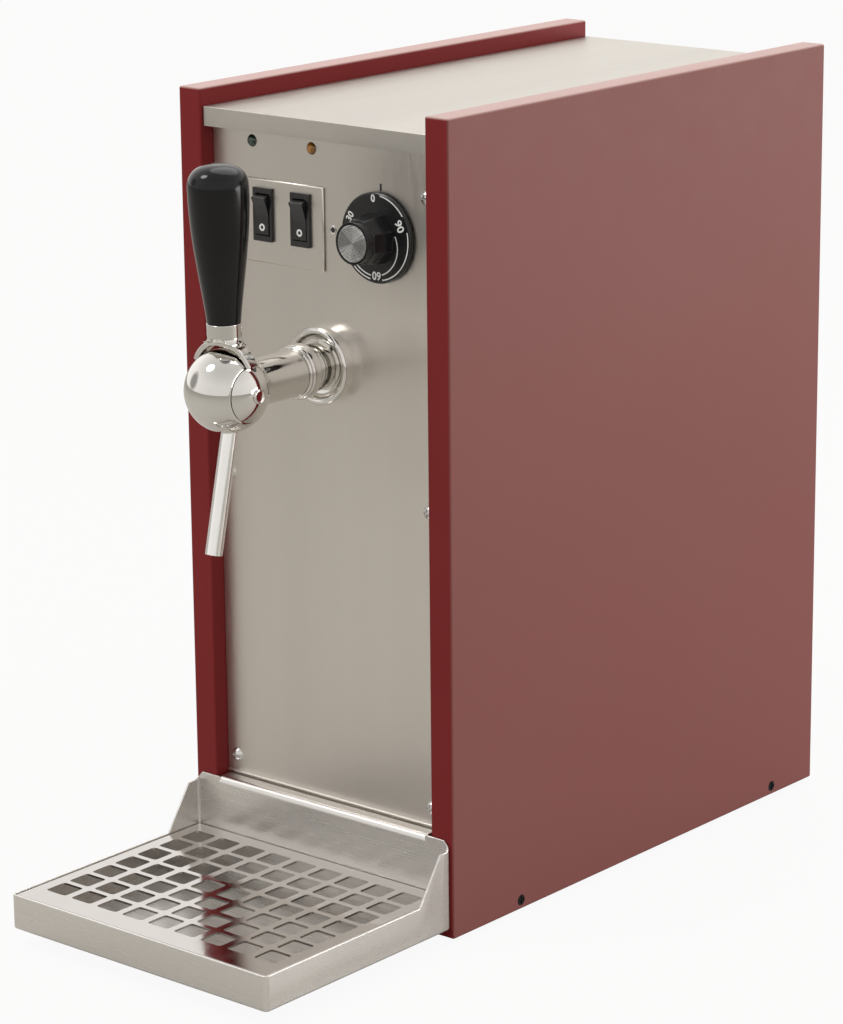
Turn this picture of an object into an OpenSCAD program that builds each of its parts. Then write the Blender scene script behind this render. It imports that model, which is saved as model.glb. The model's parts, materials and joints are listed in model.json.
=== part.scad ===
// Counter-top mulled wine dispenser: a narrow sheet-metal cabinet with a once-through heater,
// a pump, a control panel, a lever tap on its shank and a drip tray that hangs on the front.
// Millimetres, +Z up, front towards -Y, +X to the right seen from the front.
// Origin: centre of the whole plan, on the surface that the feet stand on.

/* [Cabinet] */
// Width over both side panels
body_w = 195; // [190:1:230]
// Depth of the side panels
body_d = 350; // [340:1:420]
// Height of the side panels
body_h = 460; // [450:1:520]
// Thickness of a side panel over its folded edges
panel_t = 16; // [12:0.5:18]
// Thickness of the cabinet's sheet metal
sheet = 1.2; // [0.8:0.1:1.6]
// Width of the folded inner returns of a side panel
panel_return = 26; // [22:1:40]
// Width of the screw flanges on the side panels
flange_w = 16; // [12:1:18]
// Height of the side panels' lower edges above the table
foot_clear = 3; // [2:0.5:10]
// Radius of a rubber foot
foot_r = 9; // [7:0.5:12]
// Distance of the feet from the cabinet's inner corners
foot_inset = 24; // [20:1:40]
// Depth of the lid's top below the side panels' tops
lid_drop = 10; // [4:0.5:16]
// Height of the lid's front lip
lid_lip = 11; // [8:0.5:14]
// Distance of the lid's lip behind the side panels' front edges
lid_setback = 2; // [1:0.5:4]
// Distance of the front panel behind the side panels' front edges
front_setback = 10; // [10:0.5:14]
// Distance of the rear panel inside the side panels' rear edges
rear_setback = 2; // [2:0.5:8]
// Height of the front panel's lower edge above the side panels' lower edges
front_bottom = 51; // [49:0.5:54]
// Height of the base plate's side flanges
base_flange = 18; // [14:1:24]
// Gap at the seams between sheets
seam = 0.4; // [0.2:0.1:0.6]

/* [Screws] */
// Thread radius of the cabinet screws
screw_r = 2; // [1.5:0.1:2.5]
// Radius of the pan heads
screw_head_r = 4; // [3.5:0.1:4.5]
// Height of the pan heads
screw_head_h = 2.4; // [2:0.1:3]
// Length of the thread under a head
screw_len = 9; // [7:0.5:14]
// Distance of the front and rear screws inside the side panels
screw_inset = 7.5; // [7:0.5:9]
// Height of the middle front screws above the side panels' lower edges
front_screw_mid = 240; // [200:1:280]
// Distance of the lowest front screws above the front panel's lower edge
front_screw_low = 18.5; // [16:0.5:24]
// Distance of the highest front screws below the side panels' tops
front_screw_drop = 46; // [40:1:60]
// Distance of the front side screws behind the side panels' front edges
side_screw_front = 60; // [50:1:90]
// Distance of the rear side screws before the side panels' rear edges
side_screw_rear = 43; // [40:1:80]
// Radius of the side screws' flush heads
side_head_r = 3; // [2.8:0.1:3.4]
// Height of the side screws above the side panels' lower edges
side_screw_z = 5.5; // [5:0.5:9]

/* [Controls] */
// Distance of the lamps below the side panels' tops
lamp_drop = 27.5; // [26:0.5:32]
// Distance of the power lamp left of the centre line
power_lamp_x = 51.8; // [45:0.1:58]
// Distance of the heating lamp left of the centre line
heating_lamp_x = 7.8; // [2:0.1:14]
// Radius of a lamp's lens
lamp_r = 3.5; // [2.5:0.1:4.5]
// Height of a lamp's dome
lamp_dome = 2; // [1:0.1:2.5]
// Width of the switch plate
plate_w = 61.4; // [58:0.1:66]
// Height of the switch plate
plate_h = 47; // [42:0.5:50]
// Thickness of the switch plate
plate_t = 1.6; // [1:0.1:2]
// Distance of the switches below the side panels' tops
switch_drop = 67.6; // [66:0.1:72]
// Distance of the pump switch left of the centre line
pump_switch_x = 42.4; // [41.5:0.1:46]
// Distance of the heater switch left of the centre line
heater_switch_x = 14.6; // [14:0.1:18]
// Width of a switch bezel
bezel_w = 14; // [13:0.1:16]
// Height of a switch bezel
bezel_h = 30; // [28:0.1:32]
// Thickness of a switch bezel
bezel_t = 1.6; // [1:0.1:2]
// Depth of a switch housing behind its bezel
switch_depth = 26; // [22:1:34]
// Width of a rocker
rocker_w = 9.6; // [8:0.1:10]
// Radius of a rocker's rounded ends about its pivot
rocker_r = 11.3; // [9:0.1:12]
// Tilt of a rocker each way from its middle position
rocker_tilt = 10; // [6:1:12]
// Distance of the dial right of the centre line
dial_x = 41; // [40:0.1:46]
// Distance of the dial below the side panels' tops
dial_drop = 71; // [68:0.5:78]
// Radius of the dial's skirt
dial_r = 25; // [22:0.5:27]
// Thickness of the dial's skirt
dial_t = 2.5; // [2:0.1:3.5]
// Gap between the dial and the front panel
dial_gap = 1.2; // [0.8:0.1:2]
// Height of the knob's grip in front of the skirt
grip_h = 19.5; // [18:0.5:28]
// Radius of the round end of the knob's grip
grip_r = 11.6; // [10:0.1:13]
// Radius of the knob's aluminium cap
cap_r = 10; // [7:0.1:10.4]
// Distance of the limiter's reset pin right of the centre line
reset_x = 7.1; // [5:0.1:9]
// Radius of the reset pin
reset_r = 1; // [0.8:0.1:1.4]

/* [Tap] */
// Distance of the tap's axis below the side panels' tops
tap_drop = 147; // [130:1:152]
// Distance of the ball's centre in front of the side panels' front edges
ball_reach = 69.6; // [66:0.1:74]
// Radius of the tap's ball
ball_r = 23.25; // [22.5:0.05:25]
// Half the ball's width between the lever's cheeks
cheek_x = 17; // [16:0.1:18]
// Radius of the neck behind the ball
neck_r = 13; // [12.5:0.1:14]
// Radius of the shank
shank_r = 10.75; // [10:0.05:11.5]
// Radius of the collar on the shank
collar_r = 15.5; // [14.5:0.1:18]
// Length of the collar's wide ring
collar_len = 9; // [6:0.5:10]
// Distance of the collar's front behind the side panels' front edges, below zero in front of them
collar_front = -18.2; // [-20:0.1:-15]
// Radius of the rosette on the front panel
rosette_r = 22; // [20:0.5:25]
// Depth of the rosette
rosette_t = 8.5; // [7:0.5:10]
// Outer radius of the spout
spout_r = 4.75; // [4:0.05:5.2]
// Wall of the spout
spout_wall = 1; // [0.6:0.1:1.4]
// Length of the spout below the ball
spout_len = 67.3; // [50:0.1:80]
// Forward lean of the spout
spout_lean = 12.9; // [6:0.1:14]
// Distance of the spout's root behind the ball's centre
spout_root = 1.5; // [0:0.1:3]
// Gap under the lever's arch at the top of the ball
arch_gap = 2.2; // [1.5:0.1:3]
// Thickness of the lever's arch
arch_t = 3.2; // [2.5:0.1:4]
// Width of the lever's arch from front to rear at the cheeks
arch_w = 7; // [6:0.5:9]
// Width of the lever's arch from front to rear under the ferrule
arch_top_w = 17; // [14:0.5:18]
// Forward lean of the lever when the tap is shut
lever_lean = 1.6; // [0:0.1:4]
// Radius of the chrome ferrule under the handle
ferrule_r = 9.5; // [9:0.1:11]
// Height of the ferrule's top above the ball's centre
ferrule_top = 37.5; // [35:0.5:40]
// Length of the handle
handle_len = 85.8; // [70:0.1:110]
// Radius of the handle's foot
handle_foot_r = 9.3; // [8:0.1:10]
// Largest radius of the handle
handle_r = 16.5; // [14:0.1:18]
// Height of the rounded top of the handle
handle_dome = 13; // [8:0.5:18]

/* [Drip tray] */
// Width of the tray
tray_w = 192.5; // [180:0.5:193]
// Reach of the tray in front of the side panels
tray_reach = 152.5; // [130:0.5:190]
// Height of the tray's underside above the side panels' lower edges
tray_z = 6; // [3:0.5:10]
// Height of the tray's rim above the side panels' lower edges
tray_rim = 26.5; // [24:0.5:32]
// Thickness of the tray's sheet
tray_sheet = 1.2; // [0.8:0.1:1.5]
// Corner radius of the tray's plan
tray_corner = 3; // [2:0.5:5]
// Height of the splash plate's top above the side panels' lower edges
splash_z = 58; // [54:0.5:58.5]
// Height of the side wings above the side panels' lower edges
wing_z = 52.7; // [44:0.1:53]
// Length of a wing's level top
wing_top = 9.2; // [5:0.1:14]
// Length of a wing's foot
wing_foot = 27; // [20:0.5:40]
// Half length of the hook flange
hook_half = 78.5; // [60:0.5:79]
// Depth of the hook's rear leg
hook_drop = 6.5; // [5:0.5:7]
// Holes in the grid from side to side
grid_cols = 9; // [5:1:9]
// Holes in the grid from front to rear
grid_rows = 7; // [4:1:7]
// Spacing of the grid's holes from side to side
grid_pitch_x = 19.7; // [16:0.1:20]
// Spacing of the grid's holes from front to rear
grid_pitch_y = 18; // [15:0.1:18.5]
// Width of a web between two holes from side to side
grid_web_x = 4.6; // [3:0.1:8]
// Width of a web between two holes from front to rear
grid_web_y = 3.4; // [3:0.1:8]
// Distance of the grid's hole field from the splash plate
grid_margin = 11; // [8:0.5:16]

/* [Heater] */
// Distance of the tank's axis behind the side panels' front edges
tank_y = 205; // [195:1:215]
// Outer radius of the tank
tank_r = 60; // [58:0.5:62]
// Distance of the tank's lid below the tap's axis
tank_drop = 46; // [42:1:50]
// Wall of the tank
tank_wall = 1.5; // [1:0.1:2]
// Height of the tank's floor above the side panels' lower edges
tank_z = 100; // [98:1:104]
// Width of the tank's top flange
tank_flange = 10; // [9:0.5:11]
// Thickness of the tank's gasket
gasket_t = 2; // [1:0.5:3]
// Thickness of the tank's lid
tank_lid_t = 3; // [2:0.5:4]
// Thickness of the tank's top flange
tank_flange_t = 3; // [2:0.5:4]
// Number of bolts in the tank's lid
lid_bolts = 6; // [4:1:8]
// Radius of the product tube
tube_r = 5; // [4:0.1:5.2]
// Radius of the product coil at the tube's middle
coil_r = 44; // [40:0.5:46]
// Rise of the product coil for each turn
coil_pitch = 13; // [12:0.1:13.5]
// Least height above the product coil for its outlet bend
coil_head = 34; // [30:1:40]
// Bend radius of the product tube
tube_bend = 18; // [14:0.5:20]
// Radius of the heating element's loop
element_loop_r = 28; // [20:0.5:30]
// Radius of the heating element's tube
element_r = 4; // [3:0.1:4.2]
// Radius of the temperature sensor's bulb
bulb_r = 3; // [2:0.1:4]
// Length of the temperature sensor's bulb
bulb_len = 90; // [60:1:110]

/* [Pump] */
// Height of the pump's axis above the side panels' lower edges
pump_z = 50; // [46:1:54]
// Radius of the pump's housing
pump_r = 27; // [25:0.5:30]
// Length of the pump's housing
pump_len = 24; // [20:0.5:28]
// Radius of the impeller
impeller_r = 19; // [15:0.5:20]
// Number of impeller blades
impeller_blades = 6; // [4:1:8]
// Radius of the pump's shaft
pump_shaft_r = 3; // [2.5:0.1:3.5]
// Radius of the pump's motor
motor_r = 23; // [20:0.5:25]
// Length of the pump's motor
motor_len = 62; // [50:1:70]
// Radius of the inlet stem at the rear
stem_r = 5; // [4:0.5:6]
// Reach of the inlet stem behind the side panels
stem_reach = 28; // [24:0.5:40]
// Distance of the cable gland left of the centre line
gland_x = 45; // [40:1:50]
// Bore radius of the cable gland
gland_bore = 4.5; // [3:0.1:5]

/* [Hidden] */
$fn = 64;

// Clearances: a running fit, a hole over its screw or tube, and overlap of a cut past a face
run_fit = 0.05;
hole_fit = 0.2;
past = 1;

// Colours of the finishes
burgundy = "#7a2528";
steel = "#b5aea6";
chrome = "#d8d8d8";
black = "#1c1c1c";
grey = "#8a8a88";
copper = "#b8763f";

// Cabinet frame: y = 0 at the side panels' front edges, z = 0 at their lower edges
total_d = tray_reach + body_d + stem_reach;
front_y = tray_reach - total_d / 2;
inner_half = body_w / 2 - panel_t;
front_screw_x = inner_half - screw_inset;
sheet_half = inner_half - seam;
lid_z = body_h - lid_drop;
lid_under = lid_z - sheet;
front_back = front_setback + sheet;
rear_y = body_d - rear_setback - sheet;
rear_face = rear_y + sheet;
flange_top = lid_under - lid_lip;
flange_end = 3;
foot_neck_r = 3;

// Control centres
lamp_z = body_h - lamp_drop;
switch_z = body_h - switch_drop;
dial_z = body_h - dial_drop;
plate_face = front_setback - plate_t;
plate_shift = 3.9;
bezel_face = plate_face - bezel_t;
rocker_pivot_y = bezel_face + 2;
housing_w = bezel_w - 1.6;
housing_h = bezel_h - 2;
pocket_w = rocker_w + 0.6;
pocket_h = 2 * rocker_r + 0.8;
trunnion_r = 1.2;
trunnion_reach = (pocket_w + housing_w) / 4;
plate_x = -(pump_switch_x + heater_switch_x) / 2 - 1;
dial_back = front_setback - dial_gap;
dial_face = dial_back - dial_t;
grip_face = dial_face - grip_h;
cap_sink = 1;
spindle_r = 3;
spindle_sunk = 16;
spindle_in_knob = 14;
nose_r = 5;
nose_proud = 0.6;
thermostat_w = 34;
thermostat_d = 28;
limiter_r = 8;
limiter_d = 20;
reset_len = 16;
reset_proud = 0.5;

// Tap, measured from the ball's centre
tap_z = body_h - tap_drop;
cheek_gap = 0.3;
cap_x = cheek_x + cheek_gap;
journal_r = 10;
lobe_half = 6;
lobe_r = 5;
lobe_throw = 5;
lobe_angle = 30;
valve_r = 8.6;
socket_r = 9.5;
seat_y = 24;
plunger_gap = 0.55;
plunger_front = lobe_r + lobe_throw * cos(lobe_angle) + plunger_gap;
guide_y = 14.5;
guide_t = 3;
seal_t = 3;
seal_y = seat_y - seal_t - run_fit;
arch_top = ball_r + arch_gap;
arch_side = sqrt(pow(ball_r, 2) - pow(cap_x, 2)) + cheek_gap;
arch_centre = (pow(cap_x, 2) + pow(arch_side, 2) - pow(arch_top, 2)) / (2 * (arch_side - arch_top));
arch_r = arch_top - arch_centre;
arch_lap = 3.5;
arch_low = arch_side - arch_lap;
seat_step = 0.3;
flare_r = 4;
ferrule_low = arch_top + arch_t + 1.5;
stud_z = arch_top + 2;
stud_r = 4;
stud_sunk = 24;
collar_mid = collar_front + collar_len;
collar_waist = collar_r - 2.3;
neck_len = ball_reach + collar_front - run_fit;
rosette_front = front_setback - rosette_t;
rosette_dish = front_setback - 3;
shank_tail = front_back + 34;
shank_bore = tube_r + hole_fit;
lock_nut_r = 18;
lock_nut_t = 10;
spout_sunk = 9;
boss_r = 4.1;
boss_face = ball_r + 1.2;

// Drip tray
tray_gap = 0.4;
splash_y = -tray_gap - tray_sheet;
tray_floor = tray_z + tray_sheet;
hook_back = front_setback - 1;
rail_y = 3;
rail_top = splash_z - tray_sheet - seam;
grid_gap = 0.6;
grid_top = tray_rim - 0.5;
grid_half = tray_w / 2 - tray_sheet - grid_gap;
grid_front = tray_sheet + grid_gap - tray_reach;
grid_back = splash_y - grid_gap;

// Heater and pump
tank_h = tap_z - tank_drop - tank_lid_t - gasket_t - tank_z;
tank_top = tank_z + tank_h;
tank_lid_z = tank_top + gasket_t;
tank_lid_top = tank_lid_z + tank_lid_t;
bolt_circle = tank_r + tank_flange / 2;
bolt_head_r = 3.8;
bolt_head_h = 3;
bolt_tail = 6;
coil_foot = 10;
leg_turn = atan(tube_bend / coil_r);
leg_r = sqrt(pow(coil_r, 2) + pow(tube_bend, 2));
coil_low = tank_z + tube_bend + coil_foot;
coil_start = 90 + leg_turn;
coil_half = 180 - 2 * leg_turn;
coil_turns = floor((tank_top - coil_head - coil_low) / coil_pitch - coil_half / 360);
coil_sweep = coil_half + 360 * coil_turns;
coil_high = coil_low + coil_pitch * coil_sweep / 360;
inlet_y = tank_y + leg_r;
outlet_y = tank_y - leg_r;
element_z = tank_z + tank_wall + element_r + 6;
element_gap = 20;
bush_r = 7;
bush_h = 8;
element_drop = element_z - tank_z + 2 * bush_h;
stand_half = tank_r;
stand_foot = 12;
stand_top = tank_z;
bend_ease = 0.98;
tube_sunk = 14;
bulb_x = 18;
pump_front = inlet_y - pump_len / 2;
pump_back = inlet_y + pump_len / 2;
cover_t = 5;
impeller_gap = 2;
snout_r = tube_r + 3;
snout_len = 12;
chamber_len = pump_len - 8;
motor_front = pump_front - motor_len;
shaft_in_motor = 20;
inlet_z = pump_z;
fitting_nut_r = 11;
fitting_nut_t = 6;
gland_z = pump_z - 10;
gland_nut_r = 11;
gland_reach = 18;
block_w = 50;
block_d = 22;
block_h = 18;
block_x = -36;
block_y = 70;
wire_r = 1.5;
wire_bend = 6;
wire_slack = 16;

// Direction of a vector
function unit(v) = v / norm(v);

// Points that round the corner at b between a and c
function corner_arc(a, b, c, radius, steps) =
    let (
        u = unit(a - b),
        v = unit(c - b),
        half = acos(u * v) / 2,
        centre = b + unit(u + v) * radius / sin(half),
        out = unit(b + u * radius / tan(half) - centre)
    )
    [for (i = [0 : steps])
        let (turn = (180 - 2 * half) * i / steps)
        centre + radius * (cos(turn) * out - sin(turn) * u)];

// A route through corner points, with each inner corner rounded
function rounded_route(corners, radius, steps) = [
    corners[0],
    for (i = [1 : len(corners) - 2])
        each corner_arc(corners[i - 1], corners[i], corners[i + 1], radius, steps),
    corners[len(corners) - 1]
];

// Direction of travel at each point of a path
function directions(path) = [
    for (i = [0 : len(path) - 1])
        unit(path[min(i + 1, len(path) - 1)] - path[max(i - 1, 0)])
];

// One side vector for each direction, carried along without twist
function carried_sides(ways, i = 0, found = []) =
    i == len(ways) ? found :
    let (
        seed = i > 0 ? found[i - 1] : abs(ways[0].z) < 0.9 ? [0, 0, 1] : [1, 0, 0],
        side = unit(seed - (seed * ways[i]) * ways[i])
    )
    carried_sides(ways, i + 1, concat(found, [side]));

// A closed round tube along a path
module swept_tube(path, radius, sides) {
    ways = directions(path);
    across = carried_sides(ways);
    last = (len(path) - 1) * sides;
    points = [
        for (i = [0 : len(path) - 1])
            for (k = [0 : sides - 1])
                let (turn = 360 * k / sides)
                path[i] + radius * (cos(turn) * across[i] + sin(turn) * cross(ways[i], across[i]))
    ];
    start_cap = [for (k = [1 : sides - 2]) [0, k, k + 1]];
    end_cap = [for (k = [1 : sides - 2]) [last, last + k + 1, last + k]];
    walls = [
        for (i = [0 : len(path) - 2])
            for (k = [0 : sides - 1])
                let (
                    a = i * sides + k,
                    d = i * sides + (k + 1) % sides
                )
                each [[a, a + sides, d + sides], [a, d + sides, d]]
    ];
    polyhedron(points, concat(start_cap, walls, end_cap));
}

// Places a shape from the cabinet frame in the part's frame
module cabinet_frame() {
    translate([0, front_y, foot_clear]) children();
}

// Turns a shape's +Z to the rear
module facing_rear() {
    rotate([-90, 0, 0]) children();
}

// Places a shape at the ball's centre
module at_ball() {
    cabinet_frame() translate([0, -ball_reach, tap_z]) children();
}

// Places a shape of the lever, which leans forward about the ball's centre
module at_lever() {
    at_ball() rotate([lever_lean, 0, 0]) children();
}

// A box from its lowest to its highest corner
module block(low, high) {
    translate(low) cube(high - low);
}

// A pan-head screw with a cross recess, its head's seat at z = 0 and its thread along +Z
module pan_screw(thread) {
    crown = (pow(screw_head_r, 2) + pow(screw_head_h, 2)) / (2 * screw_head_h);
    slot = screw_head_r * 0.3;
    difference() {
        union() {
            cylinder(r = screw_r, h = thread);
            intersection() {
                translate([0, 0, -screw_head_h]) cylinder(r = screw_head_r, h = screw_head_h);
                translate([0, 0, crown - screw_head_h]) sphere(crown);
            }
        }
        for (turn = [0, 90])
            rotate(turn)
                translate([0, 0, -screw_head_h])
                    cube([4 * slot, slot, screw_head_h], center = true);
    }
}

// Positions of the front panel's screws, as [x, z]
front_screws = [
    for (x = [-front_screw_x, front_screw_x])
        for (z = [front_bottom + front_screw_low, front_screw_mid, body_h - front_screw_drop])
            [x, z]
];
// Positions of the rear panel's screws, as [x, z]
rear_screws_at = [
    for (x = [-front_screw_x, front_screw_x])
        for (z = [base_flange + 20, front_screw_mid, flange_top - 20])
            [x, z]
];
// Positions of the lid's rear screws, as [x, z]
lid_screws_at = [for (x = [-inner_half / 2, inner_half / 2]) [x, lid_z - lid_lip / 2 - 1]];
// Positions of the side screws behind the side panels' front edges
side_screws_at = [side_screw_front, body_d - side_screw_rear];

// Cabinet

// A folded pan with closed edges, an open window inside and screw flanges, on the +X side
module side_panel_shape() {
    difference() {
        block([inner_half, 0, 0], [body_w / 2, body_d, body_h]);
        block([inner_half + sheet, sheet, sheet], [body_w / 2 - sheet, body_d - sheet, body_h - sheet]);
        block(
            [inner_half - past, panel_return, panel_return],
            [inner_half + sheet + past, body_d - panel_return, body_h - panel_return]
        );
        for (y = side_screws_at)
            translate([inner_half - past, y, side_screw_z])
                rotate([0, 90, 0]) {
                    cylinder(r = screw_r + hole_fit, h = panel_t);
                    translate([0, 0, panel_t - sheet])
                        cylinder(r = side_head_r + hole_fit, h = sheet + 2 * past);
                }
    }
    difference() {
        union() {
            block(
                [inner_half - flange_w, front_back, front_bottom + flange_end],
                [inner_half + sheet, front_back + sheet, flange_top]
            );
            block(
                [inner_half - flange_w, rear_y - sheet, base_flange + flange_end],
                [inner_half + sheet, rear_y, flange_top]
            );
        }
        panel_holes(front_screws, front_back);
        panel_holes(rear_screws_at, rear_y);
    }
}

// Screw holes through a sheet that lies along X and Z
module panel_holes(places, y) {
    for (place = places)
        translate([place.x, y - 3 * sheet, place.y])
            facing_rear()
                cylinder(r = screw_r + hole_fit, h = 6 * sheet);
}

module side_panel_right() {
    color(burgundy) cabinet_frame() side_panel_shape();
}

module side_panel_left() {
    color(burgundy) cabinet_frame() mirror([1, 0, 0]) side_panel_shape();
}

module base_plate() {
    flange_front = front_back + 2 * sheet + past;
    flange_back = rear_y - 2 * sheet - past;
    color(grey) cabinet_frame() difference() {
        union() {
            block([-sheet_half, rail_y, 0], [sheet_half, rear_y - seam, sheet]);
            for (side = [0, 1])
                mirror([side, 0, 0])
                    block([sheet_half - sheet, flange_front, 0], [sheet_half, flange_back, base_flange]);
        }
        for (place = foot_places())
            translate([place.x, place.y, -past])
                cylinder(r = foot_neck_r + hole_fit, h = sheet + 2 * past);
        for (y = side_screws_at)
            translate([-sheet_half - past, y, side_screw_z])
                rotate([0, 90, 0])
                    cylinder(r = screw_r + hole_fit, h = 2 * (sheet_half + past));
    }
}

function foot_places() = [
    for (x = [-1, 1] * (inner_half - foot_inset))
        for (y = [front_setback + foot_inset, rear_y - foot_inset])
            [x, y]
];

// Push-in rubber feet, each with a neck through the base plate and a barb above it
module feet() {
    color(black) cabinet_frame()
        for (place = foot_places())
            translate([place.x, place.y, -foot_clear]) {
                cylinder(r1 = foot_r - 1, r2 = foot_r, h = foot_clear);
                cylinder(r = foot_neck_r, h = foot_clear + sheet + 2);
                translate([0, 0, foot_clear + sheet])
                    cylinder(r1 = foot_neck_r + 1.5, r2 = foot_neck_r, h = 2);
            }
}

module front_panel() {
    top = lid_under - seam;
    return_d = 10;
    color(steel) cabinet_frame() difference() {
        union() {
            block([-sheet_half, front_setback, front_bottom], [sheet_half, front_back, top]);
            block(
                [flange_w - sheet_half, front_setback, front_bottom],
                [sheet_half - flange_w, front_back + return_d, front_bottom + sheet]
            );
        }
        panel_holes(front_screws, front_back);
        for (x = [-power_lamp_x, -heating_lamp_x])
            panel_bore(x, lamp_z, lamp_r - 0.5 + hole_fit);
        for (x = [-pump_switch_x, -heater_switch_x])
            panel_window(x, switch_z, housing_w + 2 * hole_fit, housing_h + 2 * hole_fit);
        panel_bore(dial_x, dial_z, nose_r + hole_fit);
        panel_bore(reset_x, dial_z, reset_r + 0.4);
        panel_bore(0, tap_z, shank_r + hole_fit);
    }
}

// A round hole through the front panel
module panel_bore(x, z, radius) {
    translate([x, front_setback - past, z])
        facing_rear()
            cylinder(r = radius, h = sheet + 2 * past);
}

// A rectangular hole through the front panel and what lies on it
module panel_window(x, z, width, height) {
    block(
        [x - width / 2, plate_face - past, z - height / 2],
        [x + width / 2, front_back + past, z + height / 2]
    );
}

module rear_panel() {
    vent_bridge = 14;
    vent_margin = 24.1;
    vent_h = 5;
    vent_rows = 6;
    vent_pitch = 11;
    vent_drop = 100;
    vent_low = flange_top - vent_drop;
    color(steel) cabinet_frame() difference() {
        block([-sheet_half, rear_y, sheet + seam], [sheet_half, rear_face, lid_under - seam]);
        panel_holes(rear_screws_at, rear_y);
        panel_holes(lid_screws_at, rear_y);
        for (row = [0 : vent_rows - 1])
            for (side = [0, 1])
                mirror([side, 0, 0])
                    block(
                        [vent_bridge / 2, rear_y - past, vent_low + row * vent_pitch],
                        [sheet_half - vent_margin, rear_face + past, vent_low + row * vent_pitch + vent_h]
                    );
        translate([0, rear_y - past, inlet_z])
            facing_rear()
                cylinder(r = stem_r + 1.5 + hole_fit, h = sheet + 2 * past);
        translate([-gland_x, rear_y - past, gland_z])
            facing_rear()
                cylinder(r = gland_bore + 2.5 + hole_fit, h = sheet + 2 * past);
    }
}

// Lid with a lip at the front, flanges at the sides and a screwed lip over the rear panel
module top_cover() {
    flange_front = front_back + 2 * sheet + past;
    flange_back = rear_y - 2 * sheet - past;
    lip_back = rear_face + seam;
    color(steel) cabinet_frame() difference() {
        union() {
            block([-sheet_half, lid_setback, lid_under], [sheet_half, lip_back + sheet, lid_z]);
            block([-sheet_half, lid_setback, lid_z - lid_lip], [sheet_half, lid_setback + sheet, lid_z]);
            block([-sheet_half, lip_back, lid_z - lid_lip], [sheet_half, lip_back + sheet, lid_z]);
            for (side = [0, 1])
                mirror([side, 0, 0])
                    block(
                        [sheet_half - sheet, flange_front, lid_z - lid_lip],
                        [sheet_half, flange_back, lid_z]
                    );
        }
        panel_holes(lid_screws_at, rear_face + sheet);
    }
}

module front_panel_screws() {
    color(chrome) cabinet_frame()
        for (place = front_screws)
            translate([place.x, front_setback, place.y])
                facing_rear()
                    pan_screw(screw_len);
}

// Flush screws through the side panels into the base plate's flanges
module side_panel_screws() {
    thread = panel_t + seam + sheet + screw_r;
    slot = side_head_r * 0.4;
    color(black) cabinet_frame()
        for (side = [0, 1])
            mirror([side, 0, 0])
                for (y = side_screws_at)
                    translate([body_w / 2, y, side_screw_z])
                        rotate([0, -90, 0])
                            difference() {
                                union() {
                                    cylinder(r = side_head_r, h = sheet);
                                    cylinder(r = screw_r, h = thread);
                                }
                                for (turn = [0, 90])
                                    rotate(turn)
                                        cube([4 * slot, slot, sheet], center = true);
                            }
}

module rear_screws() {
    color(chrome) cabinet_frame() {
        for (place = rear_screws_at)
            translate([place.x, rear_face, place.y])
                rotate([90, 0, 0])
                    pan_screw(screw_len);
        for (place = lid_screws_at)
            translate([place.x, rear_face + seam + sheet, place.y])
                rotate([90, 0, 0])
                    pan_screw(screw_len);
    }
}

// Angle on the base plate that the drip tray hooks over
module tray_rail() {
    half = sheet_half - sheet - seam;
    foot = 22;
    color(steel) cabinet_frame() {
        block([-half, rail_y, sheet], [half, rail_y + sheet, rail_top]);
        block([-half, rail_y, sheet], [half, rail_y + foot, 2 * sheet]);
    }
}

// Controls

module switch_plate() {
    low = switch_z - plate_h / 2 - plate_shift;
    color(steel) cabinet_frame() difference() {
        block(
            [plate_x - plate_w / 2, plate_face, low],
            [plate_x + plate_w / 2, front_setback, low + plate_h]
        );
        for (x = [-pump_switch_x, -heater_switch_x])
            panel_window(x, switch_z, housing_w + 2 * hole_fit, housing_h + 2 * hole_fit);
    }
}

// Bezel and body of a rocker switch, open at the front, with three blades at the rear
module switch_housing(x) {
    back = bezel_face + switch_depth;
    pocket_back = rocker_pivot_y + rocker_r + 1;
    color(black) cabinet_frame() translate([x, 0, switch_z]) {
        difference() {
            union() {
                block([-bezel_w / 2, bezel_face, -bezel_h / 2], [bezel_w / 2, plate_face, bezel_h / 2]);
                block([-housing_w / 2, bezel_face, -housing_h / 2], [housing_w / 2, back, housing_h / 2]);
            }
            block(
                [-pocket_w / 2, bezel_face - past, -pocket_h / 2],
                [pocket_w / 2, pocket_back, pocket_h / 2]
            );
            translate([-trunnion_reach - run_fit, rocker_pivot_y, 0])
                rotate([0, 90, 0])
                    cylinder(r = trunnion_r + run_fit, h = 2 * (trunnion_reach + run_fit));
        }
        for (z = [-8, 0, 8])
            block([-2.4, back - past, z - 0.4], [2.4, back + 8, z + 0.4]);
    }
}

// A rocker with two flats that meet at its pivot, stored with its lower half pressed in
module switch_rocker(x) {
    crown = (rocker_pivot_y - bezel_face + 0.3) / cos(rocker_tilt);
    rise = rocker_r * tan(rocker_tilt);
    skirt = 7;
    color(black) cabinet_frame()
        translate([x, rocker_pivot_y, switch_z])
            rotate([rocker_tilt, 0, 0]) {
                intersection() {
                    rotate([0, 90, 0]) cylinder(r = rocker_r, h = rocker_w, center = true);
                    rotate([90, 0, 90])
                        linear_extrude(height = rocker_w, center = true)
                            polygon([
                                [skirt, -rocker_r], [-crown - rise, -rocker_r], [-crown, 0],
                                [-crown - rise, rocker_r], [skirt, rocker_r]
                            ]);
                }
                rotate([0, 90, 0]) cylinder(r = trunnion_r, h = 2 * trunnion_reach, center = true);
            }
}

module pump_switch_housing() switch_housing(-pump_switch_x);
module heater_switch_housing() switch_housing(-heater_switch_x);
module pump_switch_rocker() switch_rocker(-pump_switch_x);
module heater_switch_rocker() switch_rocker(-heater_switch_x);

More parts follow.
